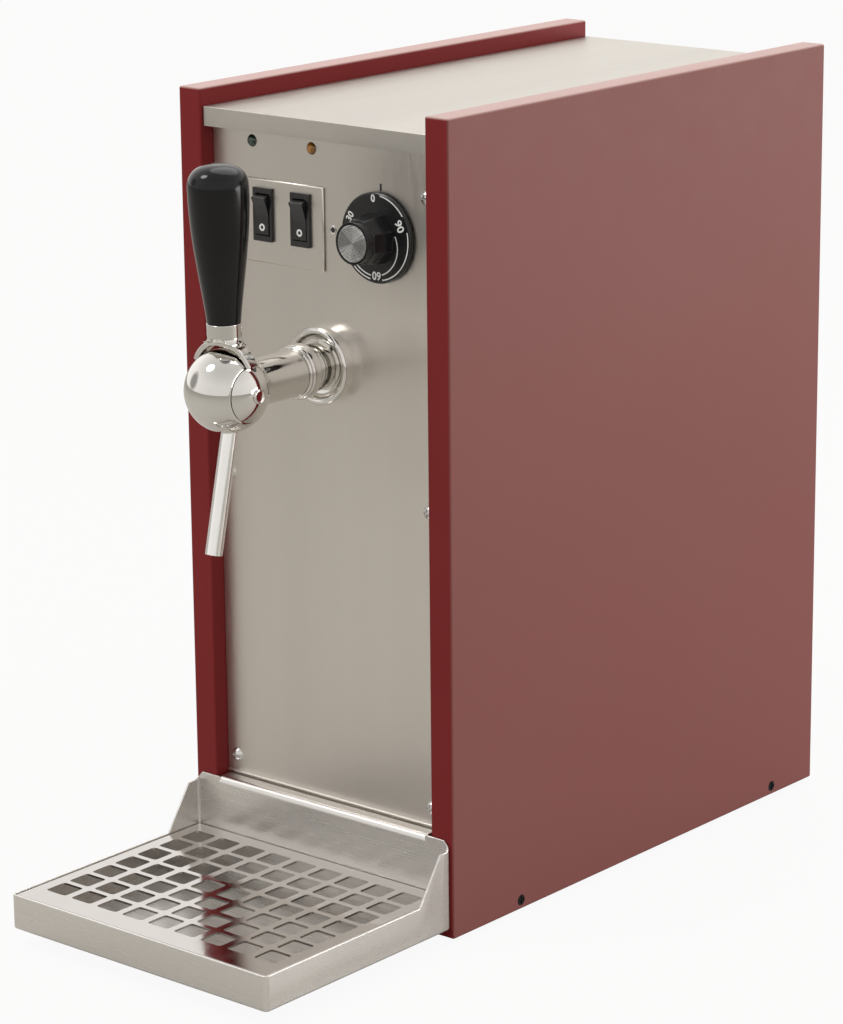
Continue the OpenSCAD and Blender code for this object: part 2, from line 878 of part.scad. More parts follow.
// A domed lens with a stem through the front panel
module lamp(x, tint) {
    crown = (pow(lamp_r, 2) + pow(lamp_dome, 2)) / (2 * lamp_dome);
    color(tint) cabinet_frame() translate([x, front_setback, lamp_z]) facing_rear() {
        intersection() {
            translate([0, 0, -lamp_dome]) cylinder(r = lamp_r, h = lamp_dome);
            translate([0, 0, crown - lamp_dome]) sphere(crown);
        }
        cylinder(r = lamp_r - 0.5, h = 14);
    }
}

module power_lamp() lamp(-power_lamp_x, "#1f5a34");
module heating_lamp() lamp(-heating_lamp_x, "#b97a1e");

module thermostat() {
    half = thermostat_w / 2;
    color(grey) cabinet_frame() translate([dial_x, 0, dial_z]) difference() {
        union() {
            block([-half, front_back, -half], [half, front_back + thermostat_d, half]);
            translate([0, front_setback - nose_proud, 0])
                facing_rear()
                    cylinder(r = nose_r, h = sheet + past);
        }
        translate([0, front_setback - past, 0])
            facing_rear()
                cylinder(r = spindle_r + run_fit, h = spindle_sunk + 2 * past);
    }
}

module thermostat_spindle() {
    color(chrome) cabinet_frame()
        translate([dial_x, dial_back - spindle_in_knob, dial_z])
            facing_rear()
                cylinder(r = spindle_r, h = spindle_in_knob + dial_gap + spindle_sunk);
}

// Skirt disc with an eight-sided grip and a round end that holds the cap
module dial_knob() {
    grip_base = grip_r + 3;
    ring_h = 5;
    color(black) cabinet_frame() translate([dial_x, dial_back, dial_z]) rotate([90, 0, 0]) difference() {
        union() {
            cylinder(r = dial_r, h = dial_t);
            translate([0, 0, dial_t])
                rotate(22.5)
                    cylinder(r1 = grip_base, r2 = grip_r + 1, h = grip_h - ring_h, $fn = 8);
            translate([0, 0, dial_t]) cylinder(r = grip_r, h = grip_h);
        }
        translate([0, 0, dial_t + grip_h - cap_sink]) cylinder(r = cap_r + hole_fit, h = cap_sink + past);
        translate([0, 0, -past]) cylinder(r = spindle_r + run_fit / 2, h = spindle_in_knob + past);
    }
}

module knob_cap() {
    color(chrome) cabinet_frame()
        translate([dial_x, grip_face + cap_sink, dial_z])
            rotate([90, 0, 0])
                cylinder(r = cap_r, h = cap_sink);
}

// Safety limiter behind the front panel, with a bore for its reset pin
module limiter() {
    color(grey) cabinet_frame() translate([reset_x, front_back, dial_z]) facing_rear() difference() {
        cylinder(r = limiter_r, h = limiter_d);
        translate([0, 0, -past]) cylinder(r = reset_r + run_fit, h = limiter_d - 2 + past);
    }
}

module limiter_reset_pin() {
    color(black) cabinet_frame()
        translate([reset_x, front_setback - reset_proud, dial_z])
            facing_rear()
                cylinder(r = reset_r, h = reset_len);
}

module sensor_bulb() {
    color(copper) cabinet_frame() translate([bulb_x, tank_y, tank_lid_top]) {
        translate([0, 0, -bulb_len]) cylinder(r = bulb_r, h = bulb_len);
        cylinder(r = bulb_r + 3, h = 5, $fn = 6);
    }
}

// Capillary from the sensor's bulb to the rear of the thermostat
module capillary_tube() {
    top = dial_z - 8;
    corners = [
        [bulb_x, tank_y, tank_lid_top + 5],
        [bulb_x, tank_y, top],
        [dial_x, tank_y - 60, top],
        [dial_x, front_back + thermostat_d, top]
    ];
    color(copper) cabinet_frame() swept_tube(rounded_route(corners, 14, 6), 1, 6);
}

// Tap

// Ball with flats for the lever's cheeks, a neck to the shank, and bores for valve, pivot and spout
module tap_body() {
    color(chrome) at_ball() difference() {
        union() {
            intersection() {
                sphere(ball_r);
                cube([2 * cheek_x, 3 * ball_r, 3 * ball_r], center = true);
            }
            facing_rear() cylinder(r1 = neck_r - 0.6, r2 = neck_r + 0.6, h = neck_len);
        }
        facing_rear() cylinder(r = valve_r, h = seat_y);
        translate([0, seat_y, 0]) facing_rear() cylinder(r = socket_r, h = neck_len);
        rotate([0, 90, 0]) cylinder(r = journal_r + run_fit, h = 3 * ball_r, center = true);
        along_spout() cylinder(r = spout_r + run_fit, h = ball_r);
        along_spout() translate([0, 0, -ball_r / 2]) cylinder(r = spout_r - spout_wall, h = ball_r);
    }
}

// The spout's axis, with +Z down along it and z = 0 at the spout's sunk end
module along_spout() {
    translate([0, spout_root, -ball_r])
        rotate([180 - spout_lean, 0, 0])
            translate([0, 0, -spout_sunk])
                children();
}

module tap_spout() {
    color(chrome) at_ball() along_spout() difference() {
        cylinder(r = spout_r, h = spout_sunk + spout_len);
        translate([0, 0, -past]) cylinder(r = spout_r - spout_wall, h = spout_sunk + spout_len + 2 * past);
    }
}

// Shank from the ball's neck through the front panel, with the valve seat at its front end
module tap_shank() {
    body_start = neck_len;
    body_end = ball_reach + shank_tail;
    color(chrome) at_ball() facing_rear() difference() {
        union() {
            translate([0, 0, seat_y]) cylinder(r = socket_r - run_fit, h = neck_len);
            translate([0, 0, body_start]) cylinder(r = shank_r, h = body_end - body_start);
        }
        cylinder(r = shank_bore, h = body_end + past);
    }
}

// A ring turned from an outline of [radius, distance] points, bored for the shank
module shank_ring(outline) {
    bore = shank_r + run_fit;
    cabinet_frame()
        translate([0, 0, tap_z])
            facing_rear()
                rotate_extrude()
                    polygon(concat([[bore, outline[0].y]], outline, [[bore, outline[len(outline) - 1].y]]));
}

module shank_collar() {
    groove = collar_mid - collar_len / 3;
    color(chrome) shank_ring([
        [collar_r - 1.5, collar_front],
        [collar_r, collar_front + 1.5],
        [collar_r, groove - 0.6],
        [collar_r - 0.8, groove],
        [collar_r, groove + 0.6],
        [collar_r, collar_mid - 1],
        [collar_waist, collar_mid],
        [collar_waist, rosette_dish]
    ]);
}

// Dished cover ring against the front panel, with a round bead for its rim
module tap_rosette() {
    bead_r = 2;
    bead_y = rosette_front + bead_r;
    bead_inner = rosette_r - 2 * bead_r;
    dish = [
        for (i = [0 : 5])
            let (turn = 90 * i / 5)
            [
                collar_waist + (bead_inner - collar_waist) * sin(turn),
                rosette_dish - (rosette_dish - bead_y) * (1 - cos(turn))
            ]
    ];
    bead = [
        for (i = [1 : 8])
            let (turn = 22.5 * i)
            [rosette_r - bead_r - bead_r * cos(turn), bead_y - bead_r * sin(turn)]
    ];
    color(chrome) shank_ring(concat(dish, bead, [[rosette_r - 1.2, front_setback]]));
}

module shank_lock_nut() {
    color(chrome) cabinet_frame() translate([0, front_back, tap_z]) facing_rear() difference() {
        cylinder(r = lock_nut_r, h = lock_nut_t, $fn = 6);
        translate([0, 0, -past]) cylinder(r = shank_r + run_fit, h = lock_nut_t + 2 * past);
    }
}

// Round cheeks flush with the ball, each with a low boss over the pivot, an arch and a flared seat
module lever_yoke() {
    flare = [
        for (i = [0 : 6])
            let (turn = 90 * i / 6)
            [ferrule_r - seat_step + flare_r * (1 - sin(turn)), ferrule_low - flare_r * cos(turn)]
    ];
    foot = arch_top + seat_step;
    seat = concat([[0, foot], [flare[0].x, foot]], flare, [[0, ferrule_low]]);
    color(chrome) at_lever() difference() {
        union() {
            for (side = [-1, 1])
                rotate([0, side * 90, 0]) {
                    rotate_extrude()
                        intersection() {
                            circle(ball_r);
                            translate([0, cap_x]) square(ball_r);
                        }
                    translate([0, 0, cap_x]) cylinder(r = boss_r, h = boss_face - cap_x);
                }
            intersection() {
                union() {
                    lever_ring();
                    rotate_extrude() polygon(seat);
                }
                arch_blade();
            }
        }
        translate([0, 0, stud_z]) cylinder(r = stud_r + run_fit, h = ferrule_top);
    }
}

// Ring round the ball that the arch is cut from
module lever_ring() {
    translate([0, 0, arch_centre])
        rotate([90, 0, 0])
            difference() {
                cylinder(r = arch_r + arch_t, h = 2 * arch_top_w, center = true);
                cylinder(r = arch_r, h = 2 * arch_top_w + 2 * past, center = true);
            }
}

// Side view of the arch: a narrow strap over the ball that widens to the ferrule's seat
module arch_blade() {
    waist = arch_top - 1;
    slope = (arch_top_w - arch_w) / (ferrule_low - waist);
    top = ferrule_low + flare_r;
    half = (arch_w + slope * (top - waist)) / 2;
    rotate([90, 0, 90])
        linear_extrude(height = 4 * ball_r, center = true)
            polygon([
                [-arch_w / 2, arch_low], [arch_w / 2, arch_low], [arch_w / 2, waist],
                [half, top], [-half, top], [-arch_w / 2, waist]
            ]);
}

// Cross shaft in the ball: two journals and an eccentric lobe that holds the valve shut
module lever_pivot() {
    color(chrome) at_ball() {
        for (side = [0, 1])
            mirror([side, 0, 0])
                translate([lobe_half, 0, 0])
                    rotate([0, 90, 0])
                        cylinder(r = journal_r, h = cap_x - lobe_half);
        translate([-lobe_half - past, lobe_throw * cos(lobe_angle), lobe_throw * sin(lobe_angle)])
            rotate([0, 90, 0])
                cylinder(r = lobe_r, h = 2 * (lobe_half + past));
    }
}

module lever_ferrule() {
    color(chrome) at_lever() difference() {
        translate([0, 0, ferrule_low]) cylinder(r = ferrule_r, h = ferrule_top - ferrule_low);
        translate([0, 0, ferrule_low - past]) cylinder(r = stud_r + run_fit, h = ferrule_top);
    }
}

module lever_stud() {
    color(grey) at_lever()
        translate([0, 0, stud_z])
            cylinder(r = stud_r, h = ferrule_top + stud_sunk - stud_z);
}

// Turned handle: a swelling taper under a rounded top
module lever_handle() {
    shoulder = handle_len - handle_dome;
    taper = [
        for (i = [0 : 10])
            [handle_foot_r + (handle_r - handle_foot_r) * pow(sin(90 * i / 10), 1.25), shoulder * i / 10]
    ];
    dome = [
        for (i = [1 : 9])
            [handle_r * pow(cos(90 * i / 9), 0.8), shoulder + handle_dome * pow(sin(90 * i / 9), 0.8)]
    ];
    color(black) at_lever() translate([0, 0, ferrule_top]) difference() {
        rotate_extrude() polygon(concat([[0, 0]], taper, dome));
        translate([0, 0, -past]) cylinder(r = stud_r + run_fit, h = stud_sunk + past);
    }
}

// Valve stem with a perforated guide, pushed back by the lobe
module valve_plunger() {
    color(grey) at_ball() facing_rear() difference() {
        union() {
            translate([0, 0, plunger_front]) cylinder(r = 4, h = seal_y - plunger_front);
            translate([0, 0, guide_y]) cylinder(r = valve_r - run_fit, h = guide_t);
        }
        for (i = [0 : 5])
            rotate(60 * i)
                translate([6.2, 0, guide_y - past])
                    cylinder(r = 1.6, h = guide_t + 2 * past);
    }
}

module valve_seal() {
    color(black) at_ball() facing_rear()
        translate([0, 0, seal_y])
            cylinder(r = valve_r - 0.5, h = seal_t);
}

// Drip tray

// A plan with rounded corners, from its lowest to its highest corner
module rounded_plan(low, high, radius) {
    translate([low.x + radius, low.y]) square([high.x - low.x - 2 * radius, high.y - low.y]);
    translate([low.x, low.y + radius]) square([high.x - low.x, high.y - low.y - 2 * radius]);
    for (x = [low.x + radius, high.x - radius])
        for (y = [low.y + radius, high.y - radius])
            translate([x, y]) circle(radius);
}

// Folded tray with a splash plate, side wings and a hook that hangs over the rail
module drip_tray() {
    half = tray_w / 2;
    chamfer = 4.5;
    low = [-half, -tray_reach];
    high = [half, -tray_gap];
    wall = [tray_sheet, tray_sheet];
    color(steel) cabinet_frame() {
        difference() {
            translate([0, 0, tray_z])
                linear_extrude(height = tray_rim - tray_z)
                    rounded_plan(low, high, tray_corner);
            translate([0, 0, tray_floor])
                linear_extrude(height = tray_rim)
                    rounded_plan(low + wall, high - wall, tray_corner - tray_sheet);
        }
        translate([0, -tray_gap, 0])
            rotate([90, 0, 0])
                linear_extrude(height = tray_sheet)
                    polygon([
                        [-half, tray_rim - past], [half, tray_rim - past], [half, splash_z - chamfer],
                        [half - chamfer, splash_z], [chamfer - half, splash_z], [-half, splash_z - chamfer]
                    ]);
        for (side = [0, 1])
            mirror([side, 0, 0])
                translate([half - tray_sheet, 0, 0])
                    rotate([90, 0, 90])
                        linear_extrude(height = tray_sheet)
                            polygon([
                                [-tray_gap, tray_rim - past], [-wing_foot, tray_rim - past],
                                [-wing_foot, tray_rim], [-wing_top, wing_z], [-tray_gap, wing_z]
                            ]);
        block([-hook_half, splash_y, splash_z - tray_sheet], [hook_half, hook_back, splash_z]);
        block([-hook_half, hook_back - tray_sheet, splash_z - hook_drop], [hook_half, hook_back, splash_z]);
    }
}

// Perforated grid with turned-down edges that stand on the tray's floor
module drip_grid() {
    low = [-grid_half, grid_front];
    high = [grid_half, grid_back];
    wall = [tray_sheet, tray_sheet];
    corner = tray_corner - tray_sheet;
    hole = [grid_pitch_x - grid_web_x, grid_pitch_y - grid_web_y];
    hole_low = grid_top - 2 * tray_sheet;
    first_x = -grid_pitch_x * grid_cols / 2 + grid_web_x / 2;
    first_y = splash_y - grid_margin - grid_pitch_y * grid_rows + grid_web_y;
    color(steel) cabinet_frame() difference() {
        translate([0, 0, tray_floor])
            linear_extrude(height = grid_top - tray_floor)
                rounded_plan(low, high, corner);
        translate([0, 0, tray_floor - tray_sheet])
            linear_extrude(height = grid_top - tray_floor)
                translate(low + wall)
                    square(high - low - 2 * wall);
        for (col = [0 : grid_cols - 1])
            for (row = [0 : grid_rows - 1])
                translate([first_x + col * grid_pitch_x, first_y + row * grid_pitch_y, hole_low])
                    cube([hole.x, hole.y, 3 * tray_sheet]);
    }
}

// Heater

// Inverted channel that carries the tank, with holes for the tank's fittings
module tank_stand() {
    front = tank_y - tank_r;
    back = tank_y + tank_r;
    plate = stand_top - 2 * sheet;
    color(grey) cabinet_frame() difference() {
        union() {
            block([-stand_half, front, plate], [stand_half, back, stand_top]);
            for (side = [0, 1])
                mirror([side, 0, 0]) {
                    block([stand_half - sheet, front, sheet], [stand_half, back, stand_top]);
                    block([stand_half - sheet, front, sheet], [stand_half + stand_foot, back, 2 * sheet]);
                }
        }
        translate([0, inlet_y, plate - past]) cylinder(r = tube_r + hole_fit, h = 2 * (sheet + past));
        translate([0, tank_y, plate - past])
            element_ends()
                cylinder(r = bush_r + hole_fit, h = 2 * (sheet + past));
    }
}

// Repeats a shape at both ends of the heating element
module element_ends() {
    for (side = [-1, 1])
        rotate(-90 + side * element_gap)
            translate([element_loop_r, 0, 0])
                children();
}

// Open-topped tank with a flange and holes in its floor
module heater_tank() {
    color(steel) cabinet_frame() translate([0, tank_y, 0]) difference() {
        union() {
            translate([0, 0, tank_z]) cylinder(r = tank_r, h = tank_h);
            translate([0, 0, tank_top - tank_flange_t])
                cylinder(r = tank_r + tank_flange, h = tank_flange_t);
        }
        translate([0, 0, tank_z + tank_wall]) cylinder(r = tank_r - tank_wall, h = tank_h);
        translate([0, leg_r, tank_z - past]) cylinder(r = tube_r + hole_fit, h = tank_wall + 2 * past);
        translate([0, 0, tank_z - past])
            element_ends()
                cylinder(r = element_r + hole_fit, h = tank_wall + 2 * past);
        lid_bolt_holes();
    }
}

// Holes for the lid's bolts through flange, gasket and lid
module lid_bolt_holes() {
    for (i = [0 : lid_bolts - 1])
        rotate(360 * (i + 0.5) / lid_bolts)
            translate([bolt_circle, 0, tank_top - tank_flange_t - past])
                cylinder(r = screw_r + hole_fit, h = tank_flange_t + gasket_t + tank_lid_t + 2 * past);
}

module tank_gasket() {
    color(black) cabinet_frame() translate([0, tank_y, 0]) difference() {
        translate([0, 0, tank_top]) cylinder(r = tank_r + tank_flange, h = gasket_t);
        translate([0, 0, tank_top - past]) cylinder(r = tank_r - tank_wall, h = gasket_t + 2 * past);
        lid_bolt_holes();
    }
}

module tank_lid() {
    color(steel) cabinet_frame() translate([0, tank_y, 0]) difference() {
        translate([0, 0, tank_lid_z]) cylinder(r = tank_r + tank_flange, h = tank_lid_t);
        translate([0, -leg_r, tank_lid_z - past]) cylinder(r = tube_r + hole_fit, h = tank_lid_t + 2 * past);
        translate([bulb_x, 0, tank_lid_z - past]) cylinder(r = bulb_r + hole_fit, h = tank_lid_t + 2 * past);
        lid_bolt_holes();
    }
}

module tank_lid_bolts() {
    color(chrome) cabinet_frame()
        translate([0, tank_y, tank_lid_top])
            for (i = [0 : lid_bolts - 1])
                rotate(360 * (i + 0.5) / lid_bolts)
                    translate([bolt_circle, 0, 0]) {
                        cylinder(r = bolt_head_r, h = bolt_head_h, $fn = 6);
                        translate([0, 0, -tank_lid_t - gasket_t - bolt_tail])
                            cylinder(r = screw_r, h = tank_lid_t + gasket_t + bolt_tail + past);
                    }
}

// Tube from the pump through the coil in the tank to the tap's shank
function coil_point(turn) =
    [coil_r * cos(turn), tank_y + coil_r * sin(turn), coil_low + coil_pitch * (turn - coil_start) / 360];

function coil_path() = [
    for (i = [0 : ceil(coil_sweep / 15)])
        coil_point(coil_start + coil_sweep * i / ceil(coil_sweep / 15))
];

function product_path() =
    let (
        coil_end = coil_start + coil_sweep,
        first = coil_point(coil_start),
        last = coil_point(coil_end),
        pump_top = pump_z + pump_r + snout_len / 2,
        entry = [0, inlet_y, first.z],
        exit = [0, outlet_y, last.z],
        bend_up = corner_arc([0, inlet_y, pump_top], entry, first, tube_bend * bend_ease, 6),
        bend_out = corner_arc(last, exit, [0, outlet_y, tap_z], tube_bend * bend_ease, 6),
        tap_corner = [0, outlet_y, tap_z],
        tap_end = [0, shank_tail - tube_sunk, tap_z],
        bend_front = corner_arc(exit, tap_corner, tap_end, tube_bend, 6)
    )
    concat([[0, inlet_y, pump_top]], bend_up, coil_path(), bend_out, bend_front, [tap_end]);

// Least gap between neighbouring turns of the coil, measured between its points
coil_points = coil_path();
coil_ring = round(len(coil_points) * 360 / coil_sweep);
coil_gap = min([
    for (i = [0 : len(coil_points) - 1])
        for (k = [i + coil_ring - 3 : min(i + coil_ring + 3, len(coil_points) - 1)])
            norm(coil_points[k] - coil_points[i]) - 2 * tube_r
]);
echo(least_gap_between_turns = coil_gap);

module product_tube() {
    color(chrome) cabinet_frame() swept_tube(product_path(), tube_r, 8);
}

// Looped heating element with two ends through the tank's floor, each in a threaded bush
module heating_element() {
    color(copper) cabinet_frame() translate([0, tank_y, element_z]) {
        rotate(-90 + element_gap)
            rotate_extrude(angle = 360 - 2 * element_gap)
                translate([element_loop_r, 0])
                    circle(element_r);
        element_ends() {
            sphere(element_r);
            translate([0, 0, -element_drop]) cylinder(r = element_r, h = element_drop);
            translate([0, 0, tank_z - bush_h - element_z]) cylinder(r = bush_r, h = bush_h, $fn = 6);
        }
    }
}

// Pump

module pump_housing() {
    color(black) cabinet_frame() translate([0, pump_front, pump_z]) difference() {
        union() {
            facing_rear() cylinder(r = pump_r, h = pump_len);
            translate([0, pump_len / 2, 0]) cylinder(r = snout_r, h = pump_r + snout_len);
            block([-12, 2, sheet - pump_z], [12, pump_len - 2, 0]);
        }
        translate([0, pump_len - chamber_len, 0])
            facing_rear()
                cylinder(r = impeller_r + impeller_gap, h = chamber_len + past);
        translate([0, -past, 0]) facing_rear() cylinder(r = pump_shaft_r + run_fit, h = pump_len);
        translate([0, pump_len / 2, 0]) cylinder(r = tube_r - 1, h = pump_r + snout_len + past);
        translate([0, pump_len / 2, pump_r]) cylinder(r = tube_r + hole_fit, h = snout_len + past);
    }
}

module pump_cover() {
    color(grey) cabinet_frame() translate([0, pump_back, pump_z]) facing_rear() difference() {
        union() {
            cylinder(r = pump_r, h = cover_t);
            cylinder(r = snout_r, h = cover_t + snout_len);
        }
        translate([0, 0, -past]) cylinder(r = tube_r - 1, h = cover_t + snout_len + 2 * past);
        translate([0, 0, cover_t]) cylinder(r = tube_r + hole_fit, h = snout_len + past);
    }
}

// Hub, back disc and straight blades
module pump_impeller() {
    disc_t = 2;
    length = chamber_len - 2 * impeller_gap;
    start = pump_back - chamber_len + impeller_gap;
    color(steel) cabinet_frame() translate([0, start, pump_z]) facing_rear() difference() {
        union() {
            cylinder(r = impeller_r, h = disc_t);
            cylinder(r = pump_shaft_r + 3, h = length);
            for (i = [0 : impeller_blades - 1])
                rotate(360 * i / impeller_blades)
                    block([0, -1, 0], [impeller_r - 0.5, 1, length]);
        }
        translate([0, 0, -past]) cylinder(r = pump_shaft_r + run_fit / 2, h = length - impeller_gap + past);
    }
}

module pump_shaft() {
    start = pump_front - shaft_in_motor;
    end = pump_back - 3 * impeller_gap;
    color(chrome) cabinet_frame()
        translate([0, start, pump_z])
            facing_rear()
                cylinder(r = pump_shaft_r, h = end - start);
}

// Motor can with a mounting saddle on the base plate
module pump_motor() {
    color(grey) cabinet_frame() translate([0, motor_front, pump_z]) difference() {
        union() {
            facing_rear() cylinder(r = motor_r, h = motor_len);
            block([-14, 12, sheet - pump_z], [14, motor_len - 12, 0]);
        }
        translate([0, motor_len - shaft_in_motor - past, 0])
            facing_rear()
                cylinder(r = pump_shaft_r + run_fit, h = shaft_in_motor + 2 * past);
    }
}

module inlet_tube() {
    color(chrome) cabinet_frame()
        translate([0, pump_back + cover_t + 2, inlet_z])
            facing_rear()
                difference() {
                    cylinder(r = tube_r, h = rear_y - 4 - pump_back - cover_t);
                    translate([0, 0, -past]) cylinder(r = tube_r - 1, h = body_d);
                }
}

// Bulkhead fitting in the rear panel: inner nut, outer nut and a plain stem for a hose
module inlet_fitting() {
    inner = rear_y - fitting_nut_t;
    stem_len = body_d + stem_reach - rear_face - fitting_nut_t;
    color(chrome) cabinet_frame() translate([0, inner, inlet_z]) facing_rear() difference() {
        union() {
            cylinder(r = fitting_nut_r, h = fitting_nut_t, $fn = 6);
            cylinder(r = stem_r + 1.5, h = 2 * fitting_nut_t + sheet);
            translate([0, 0, fitting_nut_t + sheet]) cylinder(r = fitting_nut_r, h = fitting_nut_t, $fn = 6);
            translate([0, 0, 2 * fitting_nut_t + sheet]) cylinder(r = stem_r, h = stem_len);
        }
        translate([0, 0, -past]) cylinder(r = stem_r - 1.5, h = body_d);
        translate([0, 0, -past]) cylinder(r = tube_r + hole_fit, h = fitting_nut_t);
    }
}

// Cable gland in the rear panel, open for a mains lead
module cable_gland() {
    nut_t = 5;
    cap_t = 6;
    color(black) cabinet_frame() translate([-gland_x, rear_y - nut_t, gland_z]) facing_rear() difference() {
        union() {
            cylinder(r = gland_nut_r, h = nut_t, $fn = 6);
            cylinder(r = gland_bore + 2.5, h = nut_t + sheet + gland_reach);
            translate([0, 0, nut_t + sheet]) cylinder(r = gland_nut_r, h = cap_t, $fn = 6);
            translate([0, 0, nut_t + sheet + cap_t])
                cylinder(r1 = gland_nut_r - 1.5, r2 = gland_bore + 3, h = gland_reach - cap_t);
        }
        translate([0, 0, -past]) cylinder(r = gland_bore, h = body_d);
    }
}

// Terminal block on the base plate, with a row of screw wells
module terminal_block() {
    ways = 5;
    pitch = block_w / ways;
    color("#d9d4c4") cabinet_frame() translate([block_x, block_y, sheet]) difference() {
        block([-block_w / 2, -block_d / 2, 0], [block_w / 2, block_d / 2, block_h]);
        for (i = [0 : ways - 1])
            for (y = [-6, 6])
                translate([(i + 0.5) * pitch - block_w / 2, y, block_h - 8])
                    cylinder(r = 2.5, h = 8 + past);
    }
}

// Wires from the terminal block to the two switches and to the pump's motor
module wiring() {
    block_back = block_y + block_d / 2;
    wire_z = sheet + block_h / 2;
    switch_back = bezel_face + switch_depth + 8;
    blade_z = switch_z - 8;
    routes = [
        for (x = [-pump_switch_x, -heater_switch_x])
            [
                [x, block_back, wire_z], [x, block_back + wire_slack, wire_z],
                [x, block_back + wire_slack, blade_z], [x, switch_back, blade_z]
            ]
    ];
    motor_route = [
        [block_x, block_back, wire_z], [block_x, motor_front - wire_slack, wire_z],
        [0, motor_front - wire_slack, wire_z], [0, motor_front - wire_slack, pump_z], [0, motor_front, pump_z]
    ];
    color("#444a55") cabinet_frame() {
        for (route = routes)
            swept_tube(rounded_route(route, wire_bend, 5), wire_r, 6);
        swept_tube(rounded_route(motor_route, wire_bend, 5), wire_r, 6);
    }
}

// Drawing
side_panel_left();
side_panel_right();
base_plate();
feet();
front_panel();
rear_panel();
top_cover();
front_panel_screws();
side_panel_screws();
rear_screws();
tray_rail();
switch_plate();
pump_switch_housing();
pump_switch_rocker();
heater_switch_housing();
heater_switch_rocker();
power_lamp();
heating_lamp();
thermostat();
thermostat_spindle();
dial_knob();
knob_cap();
limiter();
limiter_reset_pin();
sensor_bulb();
capillary_tube();
tap_body();
tap_shank();
shank_collar();
tap_rosette();
shank_lock_nut();
tap_spout();
lever_yoke();
lever_pivot();
lever_ferrule();
lever_stud();
lever_handle();
valve_plunger();
valve_seal();
drip_tray();
drip_grid();
tank_stand();
heater_tank();
tank_gasket();
tank_lid();
tank_lid_bolts();
product_tube();
heating_element();
pump_housing();
pump_cover();
pump_impeller();
pump_shaft();
pump_motor();
inlet_tube();
inlet_fitting();
terminal_block();
cable_gland();
wiring();
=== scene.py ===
import json
import math

import bmesh
import bpy
from mathutils import Matrix, Vector

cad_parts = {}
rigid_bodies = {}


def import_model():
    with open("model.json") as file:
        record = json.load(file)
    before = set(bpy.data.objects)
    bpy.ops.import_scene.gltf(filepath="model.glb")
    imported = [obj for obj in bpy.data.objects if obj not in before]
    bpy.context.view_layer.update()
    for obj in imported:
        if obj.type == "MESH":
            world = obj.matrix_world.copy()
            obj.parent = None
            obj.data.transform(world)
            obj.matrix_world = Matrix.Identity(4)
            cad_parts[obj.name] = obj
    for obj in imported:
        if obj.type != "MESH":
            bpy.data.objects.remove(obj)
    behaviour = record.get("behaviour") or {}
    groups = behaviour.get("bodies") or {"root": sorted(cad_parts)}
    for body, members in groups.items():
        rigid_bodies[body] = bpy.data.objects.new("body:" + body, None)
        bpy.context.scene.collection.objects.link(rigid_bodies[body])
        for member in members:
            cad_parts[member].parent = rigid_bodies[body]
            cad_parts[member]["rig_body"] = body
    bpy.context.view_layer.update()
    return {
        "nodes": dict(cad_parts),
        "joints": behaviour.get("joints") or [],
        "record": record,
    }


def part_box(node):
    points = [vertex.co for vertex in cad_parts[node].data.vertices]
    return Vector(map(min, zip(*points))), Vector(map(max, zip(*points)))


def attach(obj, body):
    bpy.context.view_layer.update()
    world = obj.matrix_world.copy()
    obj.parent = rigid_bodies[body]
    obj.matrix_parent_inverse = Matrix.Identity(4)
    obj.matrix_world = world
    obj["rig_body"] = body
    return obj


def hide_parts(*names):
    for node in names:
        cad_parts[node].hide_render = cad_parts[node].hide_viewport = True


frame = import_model()

# One millimetre in metres
MM = 0.001

# Linear colours of the finishes
BURGUNDY = (0.200, 0.0200, 0.0210)
# Painted sheen: a paler burgundy for the broad outer faces, standing in for a glancing reflection
PAINTED_SHEEN_BURGUNDY = (0.218, 0.083, 0.075)
# Painted highlight: a pale burgundy for the top edges, standing in for glare
PAINTED_GLARE_BURGUNDY = (0.51, 0.354, 0.325)
STEEL = (0.708, 0.667, 0.617)
LID_STEEL = (0.515, 0.486, 0.442)
TRAY_STEEL = (0.79, 0.765, 0.735)
CHROME = (0.72, 0.70, 0.665)
BLACK = (0.012, 0.012, 0.013)
WHITE_PRINT = (0.82, 0.82, 0.80)


# Shader helpers

def new_material(name, colour, metallic, roughness, sockets=None):
    """A principled material with its uniform values on the shader itself."""
    mat = bpy.data.materials.new(name)
    mat.use_nodes = True
    values = {"Base Color": (*colour, 1), "Metallic": metallic, "Roughness": roughness, **(sockets or {})}
    for socket, value in values.items():
        shader(mat).inputs[socket].default_value = value
    return mat


def shader(mat):
    return mat.node_tree.nodes["Principled BSDF"]


def add_node(mat, kind, values=None, **settings):
    """A node with its settings and the values of its sockets."""
    node = mat.node_tree.nodes.new(kind)
    for key, value in settings.items():
        setattr(node, key, value)
    for socket, value in (values or {}).items():
        node.inputs[socket].default_value = value
    return node


def link(mat, source, target):
    mat.node_tree.links.new(source, target)


def own_place(mat):
    """The piece's own coordinates."""
    return add_node(mat, "ShaderNodeTexCoord").outputs["Object"]


# The kind of math node that works on vectors
VECTOR_MATH = "ShaderNodeVectorMath"


def compute(mat, operation, *terms, kind="ShaderNodeMath", result="Value"):
    """The result of a math node whose terms are plain values or other nodes' outputs."""
    node = add_node(mat, kind, operation=operation)
    for socket, term in zip(node.inputs, terms):
        if isinstance(term, bpy.types.NodeSocket):
            link(mat, term, socket)
        else:
            socket.default_value = term
    return node.outputs[result]


def spread(mat, value, start, end, low, high):
    """A value's span from start to end, spread from low to high."""
    span = {"From Min": start, "From Max": end, "To Min": low, "To Max": high}
    node = add_node(mat, "ShaderNodeMapRange", span)
    link(mat, value, node.inputs["Value"])
    return node.outputs["Result"]


